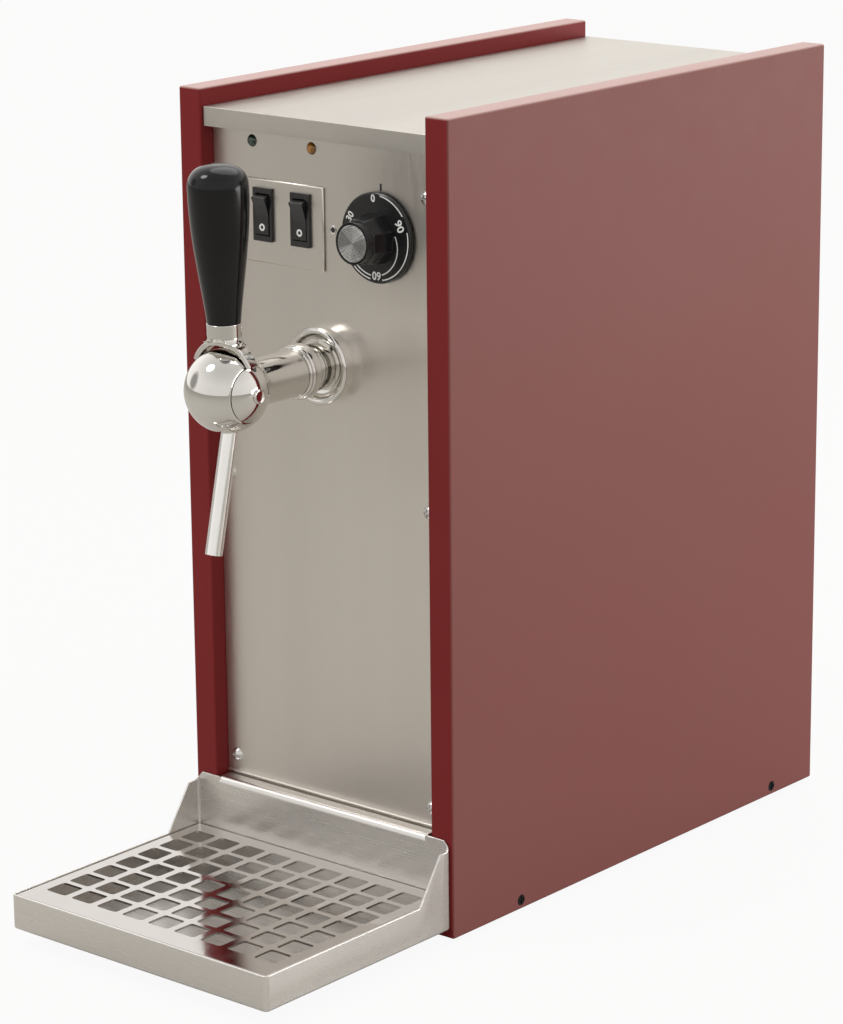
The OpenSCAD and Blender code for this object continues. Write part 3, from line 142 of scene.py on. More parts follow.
def grain(mat, scale, stretch=(1, 1, 1), detail=4.0):
    """Noise over the piece's own coordinates, in features for each metre."""
    mapping = add_node(mat, "ShaderNodeMapping", {"Scale": stretch})
    noise = add_node(mat, "ShaderNodeTexNoise", {"Scale": scale, "Detail": detail})
    link(mat, own_place(mat), mapping.inputs["Vector"])
    link(mat, mapping.outputs["Vector"], noise.inputs["Vector"])
    return noise.outputs["Fac"]


def noise_along(mat, value, scale, detail):
    """Noise along a single value."""
    noise = add_node(mat, "ShaderNodeTexNoise", {"Scale": scale, "Detail": detail}, noise_dimensions="1D")
    link(mat, value, noise.inputs["W"])
    return noise.outputs["Fac"]


# Band that most of a noise's values lie in
NOISE_LOW = 0.3
NOISE_HIGH = 0.7


def tint(mat, value, first, second, start=NOISE_LOW, end=NOISE_HIGH):
    """Base colour that goes from first to second with a value."""
    ramp = add_node(mat, "ShaderNodeValToRGB")
    for element, colour, place in zip(ramp.color_ramp.elements, (first, second), (start, end)):
        element.color = (*colour, 1)
        element.position = place
    link(mat, value, ramp.inputs["Fac"])
    link(mat, ramp.outputs["Color"], shader(mat).inputs["Base Color"])


def gloss(mat, value, low, high):
    """Roughness that goes from low to high with a value."""
    link(mat, spread(mat, value, NOISE_LOW, NOISE_HIGH, low, high), shader(mat).inputs["Roughness"])


def relief(mat, value, strength, depth):
    """Bump from a value, on top of any bump that is there."""
    bump = add_node(mat, "ShaderNodeBump", {"Strength": strength, "Distance": depth})
    normal = shader(mat).inputs["Normal"]
    if normal.is_linked:
        link(mat, normal.links[0].from_socket, bump.inputs["Normal"])
    link(mat, value, bump.inputs["Height"])
    link(mat, bump.outputs["Normal"], normal)


def scaled(colour, factor):
    return tuple(min(1.0, c * factor) for c in colour)


# Materials

# Distances below a limit at which a surface starts to reach it, and wholly reaches it
LIMIT_START = 1.2 * MM
LIMIT_END = 0.1 * MM


def near_limit(mat, axis, limit, share):
    """A share on the surfaces that reach a limit on an axis, and none on the others."""
    axes = add_node(mat, "ShaderNodeSeparateXYZ")
    link(mat, own_place(mat), axes.inputs["Vector"])
    reach = compute(mat, "ABSOLUTE", axes.outputs[axis])
    return spread(mat, reach, limit - LIMIT_START, limit - LIMIT_END, 0.0, share)


def painted(name, folds, faces, glare_colour, corner):
    """Satin powder coat: deep on the folds, paler on the outer faces as a painted sheen, and pale on the top
    edges as a painted highlight.
    """
    mat = new_material(name, folds, 0.0, 0.42, {"Specular IOR Level": 0.08})
    cloud_share, sheen_share, glare_share = 0.08, 0.92, 0.9
    # Painted sheen: the outer faces are tinted towards the paler colour, as a glancing reflection would make
    # them look
    outside = near_limit(mat, "X", corner.x, sheen_share)
    tone_and_sheen = compute(mat, "MULTIPLY_ADD", grain(mat, 9, detail=3.0), cloud_share, outside)
    tint(mat, tone_and_sheen, folds, faces, 0.0, 1.0)
    # Painted highlight: the top edges are mixed towards a pale colour that stands in for glare
    glare_mix = add_node(mat, "ShaderNodeMixRGB", {"Color2": (*glare_colour, 1)})
    base = shader(mat).inputs["Base Color"]
    link(mat, near_limit(mat, "Z", corner.z, glare_share), glare_mix.inputs["Fac"])
    link(mat, base.links[0].from_socket, glare_mix.inputs["Color1"])
    link(mat, glare_mix.outputs["Color"], base)
    gloss(mat, grain(mat, 60), 0.40, 0.44)
    relief(mat, grain(mat, 700, detail=2.0), 0.12, 0.05 * MM)
    relief(mat, grain(mat, 2600, detail=1.0), 0.08, 0.02 * MM)
    return mat


def brushed(name, colour, roughness, stretch, tangent, anisotropy=0.55):
    """Stainless sheet with fine grain and streaks of tone along one axis, and slightly wavy."""
    mat = new_material(name, colour, 1.0, roughness, {"Anisotropic": anisotropy})
    lines = grain(mat, 1500, stretch, detail=5.0)
    tint(mat, grain(mat, 14, stretch, detail=5.0), scaled(colour, 0.95), scaled(colour, 1.04))
    gloss(mat, lines, roughness - 0.05, roughness + 0.07)
    relief(mat, lines, 0.10, 0.02 * MM)
    relief(mat, grain(mat, 25, detail=2.0), 0.05, 0.3 * MM)
    direction = add_node(mat, "ShaderNodeCombineXYZ", dict(zip("XYZ", tangent)))
    link(mat, direction.outputs["Vector"], shader(mat).inputs["Tangent"])
    return mat


def plated(name, colour, low, high):
    """Polished or plated metal with patches of faint haze and a slight ripple."""
    mat = new_material(name, colour, 1.0, low)
    tint(mat, grain(mat, 30, detail=2.0), scaled(colour, 0.97), scaled(colour, 1.02))
    gloss(mat, grain(mat, 90, detail=5.0), low, high)
    relief(mat, grain(mat, 160, detail=2.0), 0.03, 0.05 * MM)
    return mat


def moulded(name, colour, roughness, texture, sockets=None):
    """Moulded plastic or rubber with a spark-eroded grain."""
    mat = new_material(name, colour, 0.0, roughness, sockets)
    tint(mat, grain(mat, 35, detail=3.0), scaled(colour, 0.85), scaled(colour, 1.2))
    gloss(mat, grain(mat, 120), roughness - 0.05, roughness + 0.06)
    relief(mat, grain(mat, 2400, detail=2.0), texture, 0.05 * MM)
    return mat


def galvanised():
    """Zinc coating with its crystal spangle."""
    colour = (0.42, 0.43, 0.44)
    mat = new_material("galvanised_zinc", colour, 0.9, 0.45)
    spangle = add_node(mat, "ShaderNodeTexVoronoi", {"Scale": 160.0})
    link(mat, own_place(mat), spangle.inputs["Vector"])
    tint(mat, spangle.outputs["Color"], scaled(colour, 0.8), scaled(colour, 1.2), 0.1, 0.9)
    gloss(mat, spangle.outputs["Color"], 0.36, 0.52)
    relief(mat, grain(mat, 300), 0.05, 0.05 * MM)
    return mat


# Distance from a lens's middle to its rim, where its painted shade is darkest
LENS_R = 3.8 * MM


def lens(name, centre, middle, edge):
    """Coloured lamp lens with painted shade: lighter at its middle and darker towards its rim, with moulded
    facets under a clear gloss.
    """
    mat = new_material(name, middle, 0.0, 0.12, {"Coat Weight": 0.6, "Coat Roughness": 0.05})
    offset = compute(mat, "DISTANCE", own_place(mat), centre, kind=VECTOR_MATH)
    # Painted shade: the lens's colour darkens from its middle to its rim
    tint(mat, compute(mat, "DIVIDE", offset, LENS_R), middle, edge, 0.25, 1.0)
    gloss(mat, grain(mat, 300), 0.10, 0.18)
    facets = add_node(mat, "ShaderNodeTexVoronoi", {"Scale": 900.0})
    link(mat, own_place(mat), facets.inputs["Vector"])
    relief(mat, facets.outputs["Distance"], 0.25, 0.2 * MM)
    return mat


def painted_highlight_wedges(mat, arm):
    """Painted highlight: two light and two dark wedges round an axis along Y, broken up by fine radial
    streaks, where a spun surface's reflections would fall.
    """
    pairs, turn, wave_share = 2.0, math.radians(195), 0.3
    axes = add_node(mat, "ShaderNodeSeparateXYZ")
    link(mat, arm, axes.inputs["Vector"])
    angle = compute(mat, "ARCTAN2", axes.outputs["Z"], axes.outputs["X"])
    wave = compute(mat, "COSINE", compute(mat, "MULTIPLY_ADD", angle, pairs, turn))
    return compute(mat, "MULTIPLY_ADD", wave, wave_share, noise_along(mat, angle, 9.0, 3.0))


def spun(name, colour, centre):
    """Aluminium turned on a lathe: ring grain, and light wedges round an axis along Y painted in as
    highlights.
    """
    mat = new_material(name, colour, 1.0, 0.24, {"Anisotropic": 0.9})
    place = add_node(mat, "ShaderNodeNewGeometry").outputs["Position"]
    arm = compute(mat, "SUBTRACT", place, centre, kind=VECTOR_MATH, result="Vector")
    turn = compute(mat, "CROSS_PRODUCT", arm, (0, 1, 0), kind=VECTOR_MATH, result="Vector")
    rings = noise_along(mat, compute(mat, "LENGTH", turn, kind=VECTOR_MATH), 5200.0, 2.0)
    link(mat, arm, shader(mat).inputs["Tangent"])
    # Painted highlight: the base colour goes from dark to light in the wedges
    tint(mat, painted_highlight_wedges(mat, arm), scaled(colour, 0.45), colour, 0.3, 0.6)
    gloss(mat, rings, 0.24, 0.32)
    relief(mat, rings, 0.02, 0.02 * MM)
    return mat


def middle_of(node):
    low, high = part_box(node)
    return (low + high) / 2


def face_of(node):
    """Middle of a piece's front face."""
    low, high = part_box(node)
    return Vector(((low.x + high.x) / 2, low.y, (low.z + high.z) / 2))


def make_materials():
    """One material for each of the record's slots."""
    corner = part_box("side_panel_right")[1]
    # Stretches that draw the grain out across, up or to the rear
    level = (0.02, 1, 1)
    upright = (1, 1, 0.02)
    deep = (1, 0.02, 1)
    return {
        "burgundy_panel": painted("burgundy_paint", BURGUNDY, PAINTED_SHEEN_BURGUNDY, PAINTED_GLARE_BURGUNDY, corner),
        "stainless_panel": brushed("brushed_panel", STEEL, 0.33, upright, (1, 0, 0)),
        "stainless_lid": brushed("brushed_lid", LID_STEEL, 0.42, deep, (0, 1, 0), 0.4),
        "stainless_tray": brushed("brushed_tray", TRAY_STEEL, 0.30, level, (1, 0, 0), 0.4),
        "galvanised": galvanised(),
        "foot_rubber": moulded("foot_rubber", (0.02, 0.02, 0.02), 0.75, 0.3),
        "zinc_screw": plated("zinc_plate", (0.68, 0.67, 0.65), 0.2, 0.34),
        "black_screw": plated("black_oxide", (0.03, 0.03, 0.032), 0.35, 0.5),
        "switch_black": moulded("switch_plastic", BLACK, 0.24, 0.12, {"Specular IOR Level": 0.6}),
        "knob_black": moulded("knob_plastic", scaled(BLACK, 0.8), 0.22, 0.05, {"Specular IOR Level": 0.5}),
        "knob_aluminium": spun("spun_aluminium", (0.98, 0.98, 0.97), middle_of("knob_cap")),
        "lamp_green": lens("green_lens", face_of("power_lamp"), (0.022, 0.06, 0.035), (0.002, 0.012, 0.005)),
        "lamp_amber": lens("amber_lens", face_of("heating_lamp"), (0.46, 0.19, 0.012), (0.10, 0.035, 0.002)),
        "control_grey": moulded("control_moulding", (0.16, 0.16, 0.165), 0.45, 0.15),
        "tap_chrome": plated("chrome_plate", CHROME, 0.035, 0.075),
        "spout_steel": plated("polished_tube", (0.88, 0.865, 0.84), 0.10, 0.18),
        "handle_black": moulded("handle_gloss", scaled(BLACK, 0.6), 0.13, 0.01, {"Specular IOR Level": 0.28}),
        "tank_steel": plated("tank_steel", (0.58, 0.57, 0.55), 0.25, 0.4),
        "sensor_brass": plated("sensor_brass", (0.66, 0.44, 0.18), 0.22, 0.36),
        "terminal_cream": moulded("terminal_cream", (0.66, 0.61, 0.48), 0.4, 0.12),
        "wire_grey": moulded("wire_sleeve", (0.06, 0.065, 0.08), 0.5, 0.1),
    }


FINISH = make_materials()
SLOT_OF = {part["node"]: part["material_slot"] for part in frame["record"]["subparts"]}


# Mesh helpers

# Angle between two faces from which their edge is rounded, and from which it shows in shading
EDGE_ANGLE = math.radians(40)
SHADING_ANGLE = math.radians(46)

# Largest share of a side that a rounded corner takes up
CORNER_SHARE = 0.45

# Radius below which a ring is a single corner on the axis, in millimetres
ON_AXIS = 1e-6

# Faces wider than this aren't a sheet's thickness
SHEET_LIMIT = 3 * MM


def finish_piece(name, bm, body, slot=None, replaced=(), material=None):
    """Makes a piece from a mesh, with smooth shading that keeps its flats flat."""
    bmesh.ops.recalc_face_normals(bm, faces=bm.faces)
    mesh = bpy.data.meshes.new(name)
    bm.to_mesh(mesh)
    bm.free()
    mesh.polygons.foreach_set("use_smooth", [True] * len(mesh.polygons))
    mesh.set_sharp_from_angle(angle=SHADING_ANGLE)
    mesh.materials.append(material or FINISH[slot])
    obj = bpy.data.objects.new(name, mesh)
    bpy.context.scene.collection.objects.link(obj)
    weighted = obj.modifiers.new("flat_faces", "WEIGHTED_NORMAL")
    weighted.keep_sharp = True
    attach(obj, body)
    if replaced:
        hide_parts(*replaced)
    return obj


def spread_over(start, end, steps):
    return [start + (end - start) * i / steps for i in range(steps + 1)]


def eased(outline, radius, steps=4):
    """An outline of (radius, distance) pairs with the corners between its ends rounded."""
    points = [Vector(outline[0])]
    for before, corner, after in zip(outline, outline[1:], outline[2:]):
        here = Vector(corner)
        back = Vector(before) - here
        on = Vector(after) - here
        reach = min(radius, back.length * CORNER_SHARE, on.length * CORNER_SHARE)
        start = here + back.normalized() * reach
        end = here + on.normalized() * reach
        for t in spread_over(0, 1, steps):
            points.append(start * (1 - t) ** 2 + here * (2 * t * (1 - t)) + end * t ** 2)
    points.append(Vector(outline[-1]))
    return points


def turned(bm, outline, origin, axis, steps=96):
    """Adds a body of revolution: (radius, distance) pairs in millimetres along an axis."""
    way = Vector(axis).normalized()
    side = way.orthogonal().normalized()
    across = way.cross(side)
    angles = [2 * math.pi * k / steps for k in range(steps)]
    arms = [side * math.cos(a) + across * math.sin(a) for a in angles]
    rings = []
    for radius, distance in outline:
        centre = Vector(origin) + way * distance * MM
        if radius < ON_AXIS:
            rings.append([bm.verts.new(centre)])
        else:
            rings.append([bm.verts.new(centre + arm * radius * MM) for arm in arms])
    join_rings(bm, rings)


def join_rings(bm, rings, closed=True):
    """Faces between rings with the same number of corners, or between a ring and a single corner."""
    for first, second in zip(rings, rings[1:]):
        count = max(len(first), len(second))
        for k in range(count if closed else count - 1):
            n = (k + 1) % count
            places = ((first, k), (first, n), (second, n), (second, k))
            corners = list(dict.fromkeys(ring[i % len(ring)] for ring, i in places))
            if len(corners) > 2:
                bm.faces.new(corners)


def lofted(bm, rings):
    """Adds a solid through rings, with a face on each end."""
    join_rings(bm, rings)
    bm.faces.new(rings[0])
    bm.faces.new(rings[-1])


def turn_all(bm, degrees, axis, centre=(0, 0, 0)):
    """Turns a whole mesh about an axis through a point."""
    bmesh.ops.rotate(bm, cent=centre, matrix=Matrix.Rotation(math.radians(degrees), 3, axis), verts=bm.verts)


def round_edges(bm, edges, offset):
    """Rounds edges in three steps, from an offset on each side."""
    bmesh.ops.bevel(
        bm, geom=edges, offset=offset, segments=3, profile=0.5, affect="EDGES", clamp_overlap=True
    )


def any_edge(edge):
    return True


def is_fold(edge):
    """True for the outside of a fold: both faces are wider than a sheet's thickness."""
    widths = [face.calc_area() / edge.calc_length() for face in edge.link_faces]
    return edge.is_convex and min(widths) > SHEET_LIMIT


def sharp_edges(bm, least=0.0, wanted=any_edge):
    """Edges between faces at a marked angle that are long enough and wanted."""
    return [
        edge
        for edge in bm.edges
        if len(edge.link_faces) == 2
        and edge.calc_face_angle() > EDGE_ANGLE
        and edge.calc_length() > least
        and wanted(edge)
    ]


def dress(node, fold, rim, least=4 * MM):
    """Makes a copy of a CAD node with rounded folds and eased rims, in the node's place."""
    bm = bmesh.new()
    bm.from_mesh(frame["nodes"][node].data)
    bmesh.ops.remove_doubles(bm, verts=bm.verts, dist=0.002 * MM)
    bmesh.ops.dissolve_limit(bm, angle_limit=math.radians(1), verts=bm.verts, edges=bm.edges)
    for offset, wanted in ((fold, is_fold), (rim, any_edge)):
        edges = sharp_edges(bm, least, wanted)
        if edges:
            round_edges(bm, edges, offset)
    finish_piece(node + "_dressed", bm, frame["nodes"][node]["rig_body"], SLOT_OF[node], [node])


def dress_sheet_metal():
    """Rounds the folds of the cabinet's sheets and eases their rims."""
    for node in ("side_panel_left", "side_panel_right"):
        dress(node, 1.2 * MM, 0.25 * MM)
    for node in ("front_panel", "rear_panel"):
        dress(node, 0.9 * MM, 0.2 * MM)
    dress("top_cover", 2.4 * MM, 0.2 * MM)
    dress("switch_plate", 1.2 * MM, 1.2 * MM)


def paint_nodes():
    """Gives each CAD node the material of its slot."""
    for name, node in frame["nodes"].items():
        node.data.materials.clear()
        node.data.materials.append(FINISH[SLOT_OF[name]])


# Tap

def pivot(joint):
    """The point that a joint turns about."""
    return Vector(next(row["pos_m"] for row in frame["joints"] if row["name"] == joint))


def arc_of(radius, start, end, steps=40):
    """Outline of a sphere between two angles from its axis."""
    return [(radius * math.sin(a), radius * math.cos(a)) for a in spread_over(start, end, steps)]


# The ball's centre, sizes of the tap in millimetres and the lever's lean in degrees
BALL = pivot("lever_pull")
BALL_R = (BALL.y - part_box("tap_body")[0].y) / MM
CHEEK_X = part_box("tap_body")[1].x / MM
CHEEK_GAP = 0.3
CAP_X = CHEEK_X + CHEEK_GAP
RIM_EASE = 0.5
BORE = 10.8
COLLAR_STEP = 2.3
LEVER_LEAN = 1.6

# Heights on the lever above the ball's centre, and its thicknesses
ARCH_TOP = BALL_R + 2.2
ARCH_T = 3.2
ARCH_SIDE = math.sqrt(BALL_R ** 2 - CAP_X ** 2) + CHEEK_GAP
ARCH_LOW = ARCH_SIDE - 1.3
ARCH_WAIST = ARCH_TOP - 1
SEAT = ARCH_TOP + ARCH_T + 1.5
FERRULE_TOP = 37.5
FERRULE_R = 9.5
HANDLE_LEN = 85.8


def make_tap_body():
    """Ball between two flats, with a tapered neck to the collar."""
    bm = bmesh.new()
    flat = math.acos(CHEEK_X / BALL_R)
    rim = BALL_R * math.sin(flat) - RIM_EASE
    face = [(0, CHEEK_X), (rim, CHEEK_X)]
    ease = RIM_EASE / BALL_R
    belt = arc_of(BALL_R, flat + ease, math.pi - flat - ease, 64)
    turned(bm, face + belt + [(r, -x) for r, x in reversed(face)], BALL, (1, 0, 0), 128)
    end = (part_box("tap_body")[1].y - BALL.y) / MM
    neck = [(12.8, 14), (13.0, 20), (13.0, 27), (13.3, end - 5), (13.6, end - 0.5), (13.2, end), (9, end)]
    turned(bm, eased(neck, 1.2), BALL, (0, 1, 0))
    finish_piece("tap_body_chrome", bm, "cabinet", "tap_chrome", ["tap_body"])


def arch_half(height):
    """Half the arch's width at a height: narrow over the ball, wide under the ferrule."""
    narrow, flare = 3.5, 5.0
    return narrow + flare * max(0, height - ARCH_WAIST) / (SEAT - ARCH_WAIST)


def arch_section(half):
    """Cross-section of the arch with rounded edges, as (outward, across) pairs."""
    corner = 0.9
    section = []
    centres = (
        (0, ARCH_T - corner, half - corner),
        (90, corner, half - corner),
        (180, corner, corner - half),
        (270, ARCH_T - corner, corner - half),
    )
    for turn, out, across in centres:
        for angle in spread_over(math.radians(turn), math.radians(turn + 90), 4):
            section.append((out + corner * math.cos(angle), across + corner * math.sin(angle)))
    return section


def add_arch(bm):
    """Strap over the ball, cut off level on top of the cheeks."""
    centre_z = (CAP_X ** 2 + ARCH_SIDE ** 2 - ARCH_TOP ** 2) / (2 * (ARCH_SIDE - ARCH_TOP))
    inner = ARCH_TOP - centre_z
    low = math.asin((ARCH_LOW - centre_z) / inner)
    centre = Vector((0, 0, centre_z))
    rings = []
    for angle in spread_over(low, math.pi - low, 64):
        way = Vector((math.cos(angle), 0, math.sin(angle)))
        half = arch_half(centre_z + (inner + ARCH_T / 2) * math.sin(angle))
        places = [centre + way * (inner + out) + Vector((0, across, 0)) for out, across in arch_section(half)]
        rings.append([bm.verts.new(BALL + Vector((p.x, p.y, max(p.z, ARCH_LOW))) * MM) for p in places])
    lofted(bm, rings)


def add_seat(bm):
    """Flare from the arch to the ferrule, no wider than the arch."""
    inset, bend, foot = 0.3, 4, ARCH_TOP + 0.6
    flare = [
        (FERRULE_R - inset + bend * (1 - math.sin(a)), SEAT - bend * math.cos(a))
        for a in spread_over(0, math.pi / 2, 16)
    ]
    before = set(bm.verts)
    turned(bm, [(0, foot), (flare[0][0], foot)] + flare + [(0, SEAT)], BALL, (0, 0, 1), 160)
    for vert in set(bm.verts) - before:
        half = (arch_half((vert.co.z - BALL.z) / MM) - inset) * MM
        vert.co.y = max(BALL.y - half, min(BALL.y + half, vert.co.y))


def finish_lever(name, bm, slot, node):
    """Leans a piece of the lever forward about the ball's centre and finishes it."""
    turn_all(bm, LEVER_LEAN, "X", BALL)
    finish_piece(name, bm, "lever", slot, [node])


def make_lever_yoke():
    """Two round cheeks, the arch that joins them and the flared seat of the ferrule."""
    bm = bmesh.new()
    edge = math.acos(CAP_X / BALL_R)
    rim = BALL_R * math.sin(edge) - RIM_EASE
    cap = [(0, CAP_X), (rim, CAP_X)] + arc_of(BALL_R, edge - RIM_EASE / BALL_R, 0, 32)
    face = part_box("lever_yoke")[1].x / MM
    dish = face - 0.35
    boss = [(4.1, BALL_R - 1), (4.1, face - 0.5), (3.7, face), (3.1, face), (2.9, dish), (0, dish)]
    for side in (1, -1):
        turned(bm, cap, BALL, (side, 0, 0), 128)
        turned(bm, eased(boss, 0.2), BALL, (side, 0, 0), 64)
    add_arch(bm)
    add_seat(bm)
    finish_lever("lever_yoke_chrome", bm, "tap_chrome", "lever_yoke")


def make_ferrule():
    """Plain chrome sleeve under the handle."""
    bm = bmesh.new()
    outline = [(0, SEAT), (FERRULE_R, SEAT), (FERRULE_R, FERRULE_TOP), (0, FERRULE_TOP)]
    turned(bm, eased(outline, 0.4), BALL, (0, 0, 1))
    finish_lever("lever_ferrule_chrome", bm, "tap_chrome", "lever_ferrule")


def make_handle():
    """Turned handle: a swelling taper under a rounded crown."""
    bm = bmesh.new()
    radius, foot, crown = 16.5, 9.3, 13.0
    swell, fullness = 1.25, 0.8
    shoulder = HANDLE_LEN - crown
    taper = [
        (foot + (radius - foot) * math.sin(math.pi / 2 * t) ** swell, FERRULE_TOP + shoulder * t)
        for t in spread_over(0, 1, 48)
    ]
    dome = [
        (radius * max(math.cos(a), 0) ** fullness, FERRULE_TOP + shoulder + crown * math.sin(a) ** fullness)
        for a in spread_over(0.04, math.pi / 2, 32)
    ]
    start = [(0, FERRULE_TOP), (foot - 0.5, FERRULE_TOP), (foot - 0.1, FERRULE_TOP + 0.2)]
    turned(bm, start + taper[1:] + dome, BALL, (0, 0, 1), 128)
    finish_lever("lever_handle_gloss", bm, "handle_black", "lever_handle")


def make_collar():
    """Grooved collar on the neck, with a narrower waist behind it."""
    bm = bmesh.new()
    low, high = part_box("shank_collar")
    length = (high.y - low.y) / MM
    radius = high.x / MM
    waist = radius - COLLAR_STEP
    outline = [
        (BORE, 0), (radius - 1.2, 0), (radius - 0.6, 0.7), (radius - 0.6, 1.6),
        (radius - 1.0, 1.9), (radius - 1.0, 2.5), (radius - 0.3, 2.9), (radius, 4.6),
        (radius, 8.0), (radius - 0.5, 8.6), (waist, 9.2), (waist, length), (BORE, length)
    ]
    turned(bm, eased(outline, 0.5), (BALL.x, low.y, BALL.z), (0, 1, 0))
    finish_piece("shank_collar_chrome", bm, "cabinet", "tap_chrome", ["shank_collar"])


def make_rosette():
    """Dished cover ring with a round bead for its rim."""
    bm = bmesh.new()
    low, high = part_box("tap_rosette")
    depth = (high.y - low.y) / MM
    radius = high.x / MM
    bead, web = 2.0, 3.0
    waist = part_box("shank_collar")[1].x / MM - COLLAR_STEP
    inner = radius - 2 * bead
    dish = [
        (waist + (inner - waist) * math.sin(a), depth - web - (depth - web - bead) * (1 - math.cos(a)))
        for a in spread_over(0, math.pi / 2, 20)
    ]
    rim = [
        (radius - bead - bead * math.cos(a), bead - bead * math.sin(a))
        for a in spread_over(0.15, math.pi, 20)
    ]
    outline = [(BORE, depth - web)] + dish + rim + [(radius - 1.2, depth), (BORE, depth)]
    turned(bm, outline, (BALL.x, low.y, BALL.z), (0, 1, 0), 128)
    finish_piece("tap_rosette_chrome", bm, "cabinet", "tap_chrome", ["tap_rosette"])


def make_spout():
    """Open tube that leans forward below the ball, with a deburred lip."""
    bm = bmesh.new()
    lean = math.radians(12.9)
    way = Vector((0, -math.sin(lean), -math.cos(lean)))
    radius, wall, sunk, reach, behind = 4.75, 1.0, 9.0, 67.3, 1.5
    start = BALL + Vector((0, behind, -BALL_R)) * MM - way * sunk * MM
    end = sunk + reach
    outline = [(radius - wall, 0), (radius, 0), (radius, end), (radius - wall, end), (radius - wall, 0)]
    turned(bm, eased(outline, 0.3), start, way, 64)
    bmesh.ops.remove_doubles(bm, verts=bm.verts, dist=0.001 * MM)
    finish_piece("tap_spout_tube", bm, "cabinet", "spout_steel", ["tap_spout"])


def make_tap():
    make_tap_body()
    make_lever_yoke()
    make_ferrule()
    make_handle()
    make_collar()
    make_rosette()
    make_spout()


# Controls

# The dial's axis and back, and its sizes in millimetres
DIAL = middle_of("knob_cap")
DIAL_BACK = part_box("dial_knob")[1].y
DIAL_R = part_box("dial_knob")[1].x / MM - DIAL.x / MM
SKIRT_T = 2.5
PRINT_T = 0.04
PRINT_SWELL = 0.16
PRINT_LINE = 0.7


def printed(name, colour, roughness, dark, light):
    """Pad print, slightly uneven: shares of its colour from dark to light."""
    mat = new_material(name, colour, 0.0, roughness)
    tint(mat, grain(mat, 800, detail=3.0), scaled(colour, dark), scaled(colour, light))
    relief(mat, grain(mat, 3000, detail=1.0), 0.1, 0.02 * MM)
    return mat


WHITE_INK = printed("white_print", WHITE_PRINT, 0.5, 0.9, 1.05)
BLACK_INK = printed("black_print", scaled(BLACK, 1.2), 0.55, 0.75, 4 / 3)


def make_knob():
    """Skirt disc, eight-sided grip with eased edges and a round rim for the cap."""
    bm = bmesh.new()
    sides, grip, grip_end, rim, seat, recess = 8, 19.5, 14.5, 11.6, 10.3, 1.2
    turned(bm, [(14.6, 0), (12.6, grip_end), (0, grip_end)], (0, 0, 0), (0, 0, 1), sides)
    round_edges(bm, [e for e in bm.edges if len(e.link_faces) == 2], 0.7 * MM)
    turn_all(bm, 180 / sides, "Z")
    turn_all(bm, 90, "X")
    bmesh.ops.translate(bm, vec=(DIAL.x, DIAL_BACK - SKIRT_T * MM, DIAL.z), verts=bm.verts)
    skirt = [
        (3, 0), (DIAL_R - 0.4, 0), (DIAL_R, 0.5),
        (DIAL_R, SKIRT_T - 0.6), (DIAL_R - 0.8, SKIRT_T), (11, SKIRT_T)
    ]
    turned(bm, eased(skirt, 0.3), (DIAL.x, DIAL_BACK, DIAL.z), (0, -1, 0))
    end = SKIRT_T + grip
    ring = [(rim, SKIRT_T), (rim, end), (seat, end), (seat, end - recess), (0, end - recess)]
    turned(bm, eased(ring, 0.35), (DIAL.x, DIAL_BACK, DIAL.z), (0, -1, 0))
    finish_piece("dial_knob_moulded", bm, "dial", "knob_black", ["dial_knob"])


def make_cap():
    """Slightly dished aluminium disc with a turned edge."""
    bm = bmesh.new()
    low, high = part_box("knob_cap")
    radius = (high.x - low.x) / 2 / MM
    depth = (high.y - low.y) / MM
    lip, dip = 0.1, 0.15
    face = [(radius, 0), (radius, depth - dip), (radius - 0.5, depth), (radius - 1.0, depth - lip)]
    dish = [(r, depth - lip - dip * (1 - (r / radius) ** 2)) for r in spread_over(radius - 1.2, 0, 24)]
    turned(bm, face + dish, (DIAL.x, high.y, DIAL.z), (0, -1, 0), 128)
    finish_piece("knob_cap_spun", bm, "dial", "knob_aluminium", ["knob_cap"])


def add_stroke(bm, points, width, face_y):
    """Adds a flat printed line through (x, z) points on a face that looks to the front."""
    rows = []
    for i, here in enumerate(points):
        before, after = points[max(i - 1, 0)], points[min(i + 1, len(points) - 1)]
        way = Vector((after[0] - before[0], after[1] - before[1])).normalized()
        side = Vector((-way.y, way.x)) * width / 2
        front = face_y - PRINT_T * MM
        rows.append([bm.verts.new((here[0] + s * side.x, front, here[1] + s * side.y)) for s in (1, -1)])
    join_rings(bm, rows, closed=False)


def dial_point(turn, radius):
    """(x, z) of a point on the dial, turned clockwise from its top."""
    angle = math.radians(turn)
    return (DIAL.x + radius * MM * math.sin(angle), DIAL.z + radius * MM * math.cos(angle))


def number_mesh(text, height, turn, radius, face_y):
    """Mesh of a number whose top points away from the dial's axis."""
    curve = bpy.data.curves.new("number", "FONT")
    curve.body = text
    curve.size = height * MM
    curve.align_x = "CENTER"
    curve.align_y = "CENTER"
    curve.offset = PRINT_SWELL * MM
    writing = bpy.data.objects.new("number", curve)
    mesh = bpy.data.meshes.new_from_object(writing)
    x, z = dial_point(turn, radius)
    place = Matrix.Translation((x, face_y - PRINT_T * MM, z))
    mesh.transform(place @ Matrix.Rotation(math.radians(turn), 4, "Y") @ Matrix.Rotation(math.pi / 2, 4, "X"))
    bpy.data.objects.remove(writing)
    bpy.data.curves.remove(curve)
    return mesh


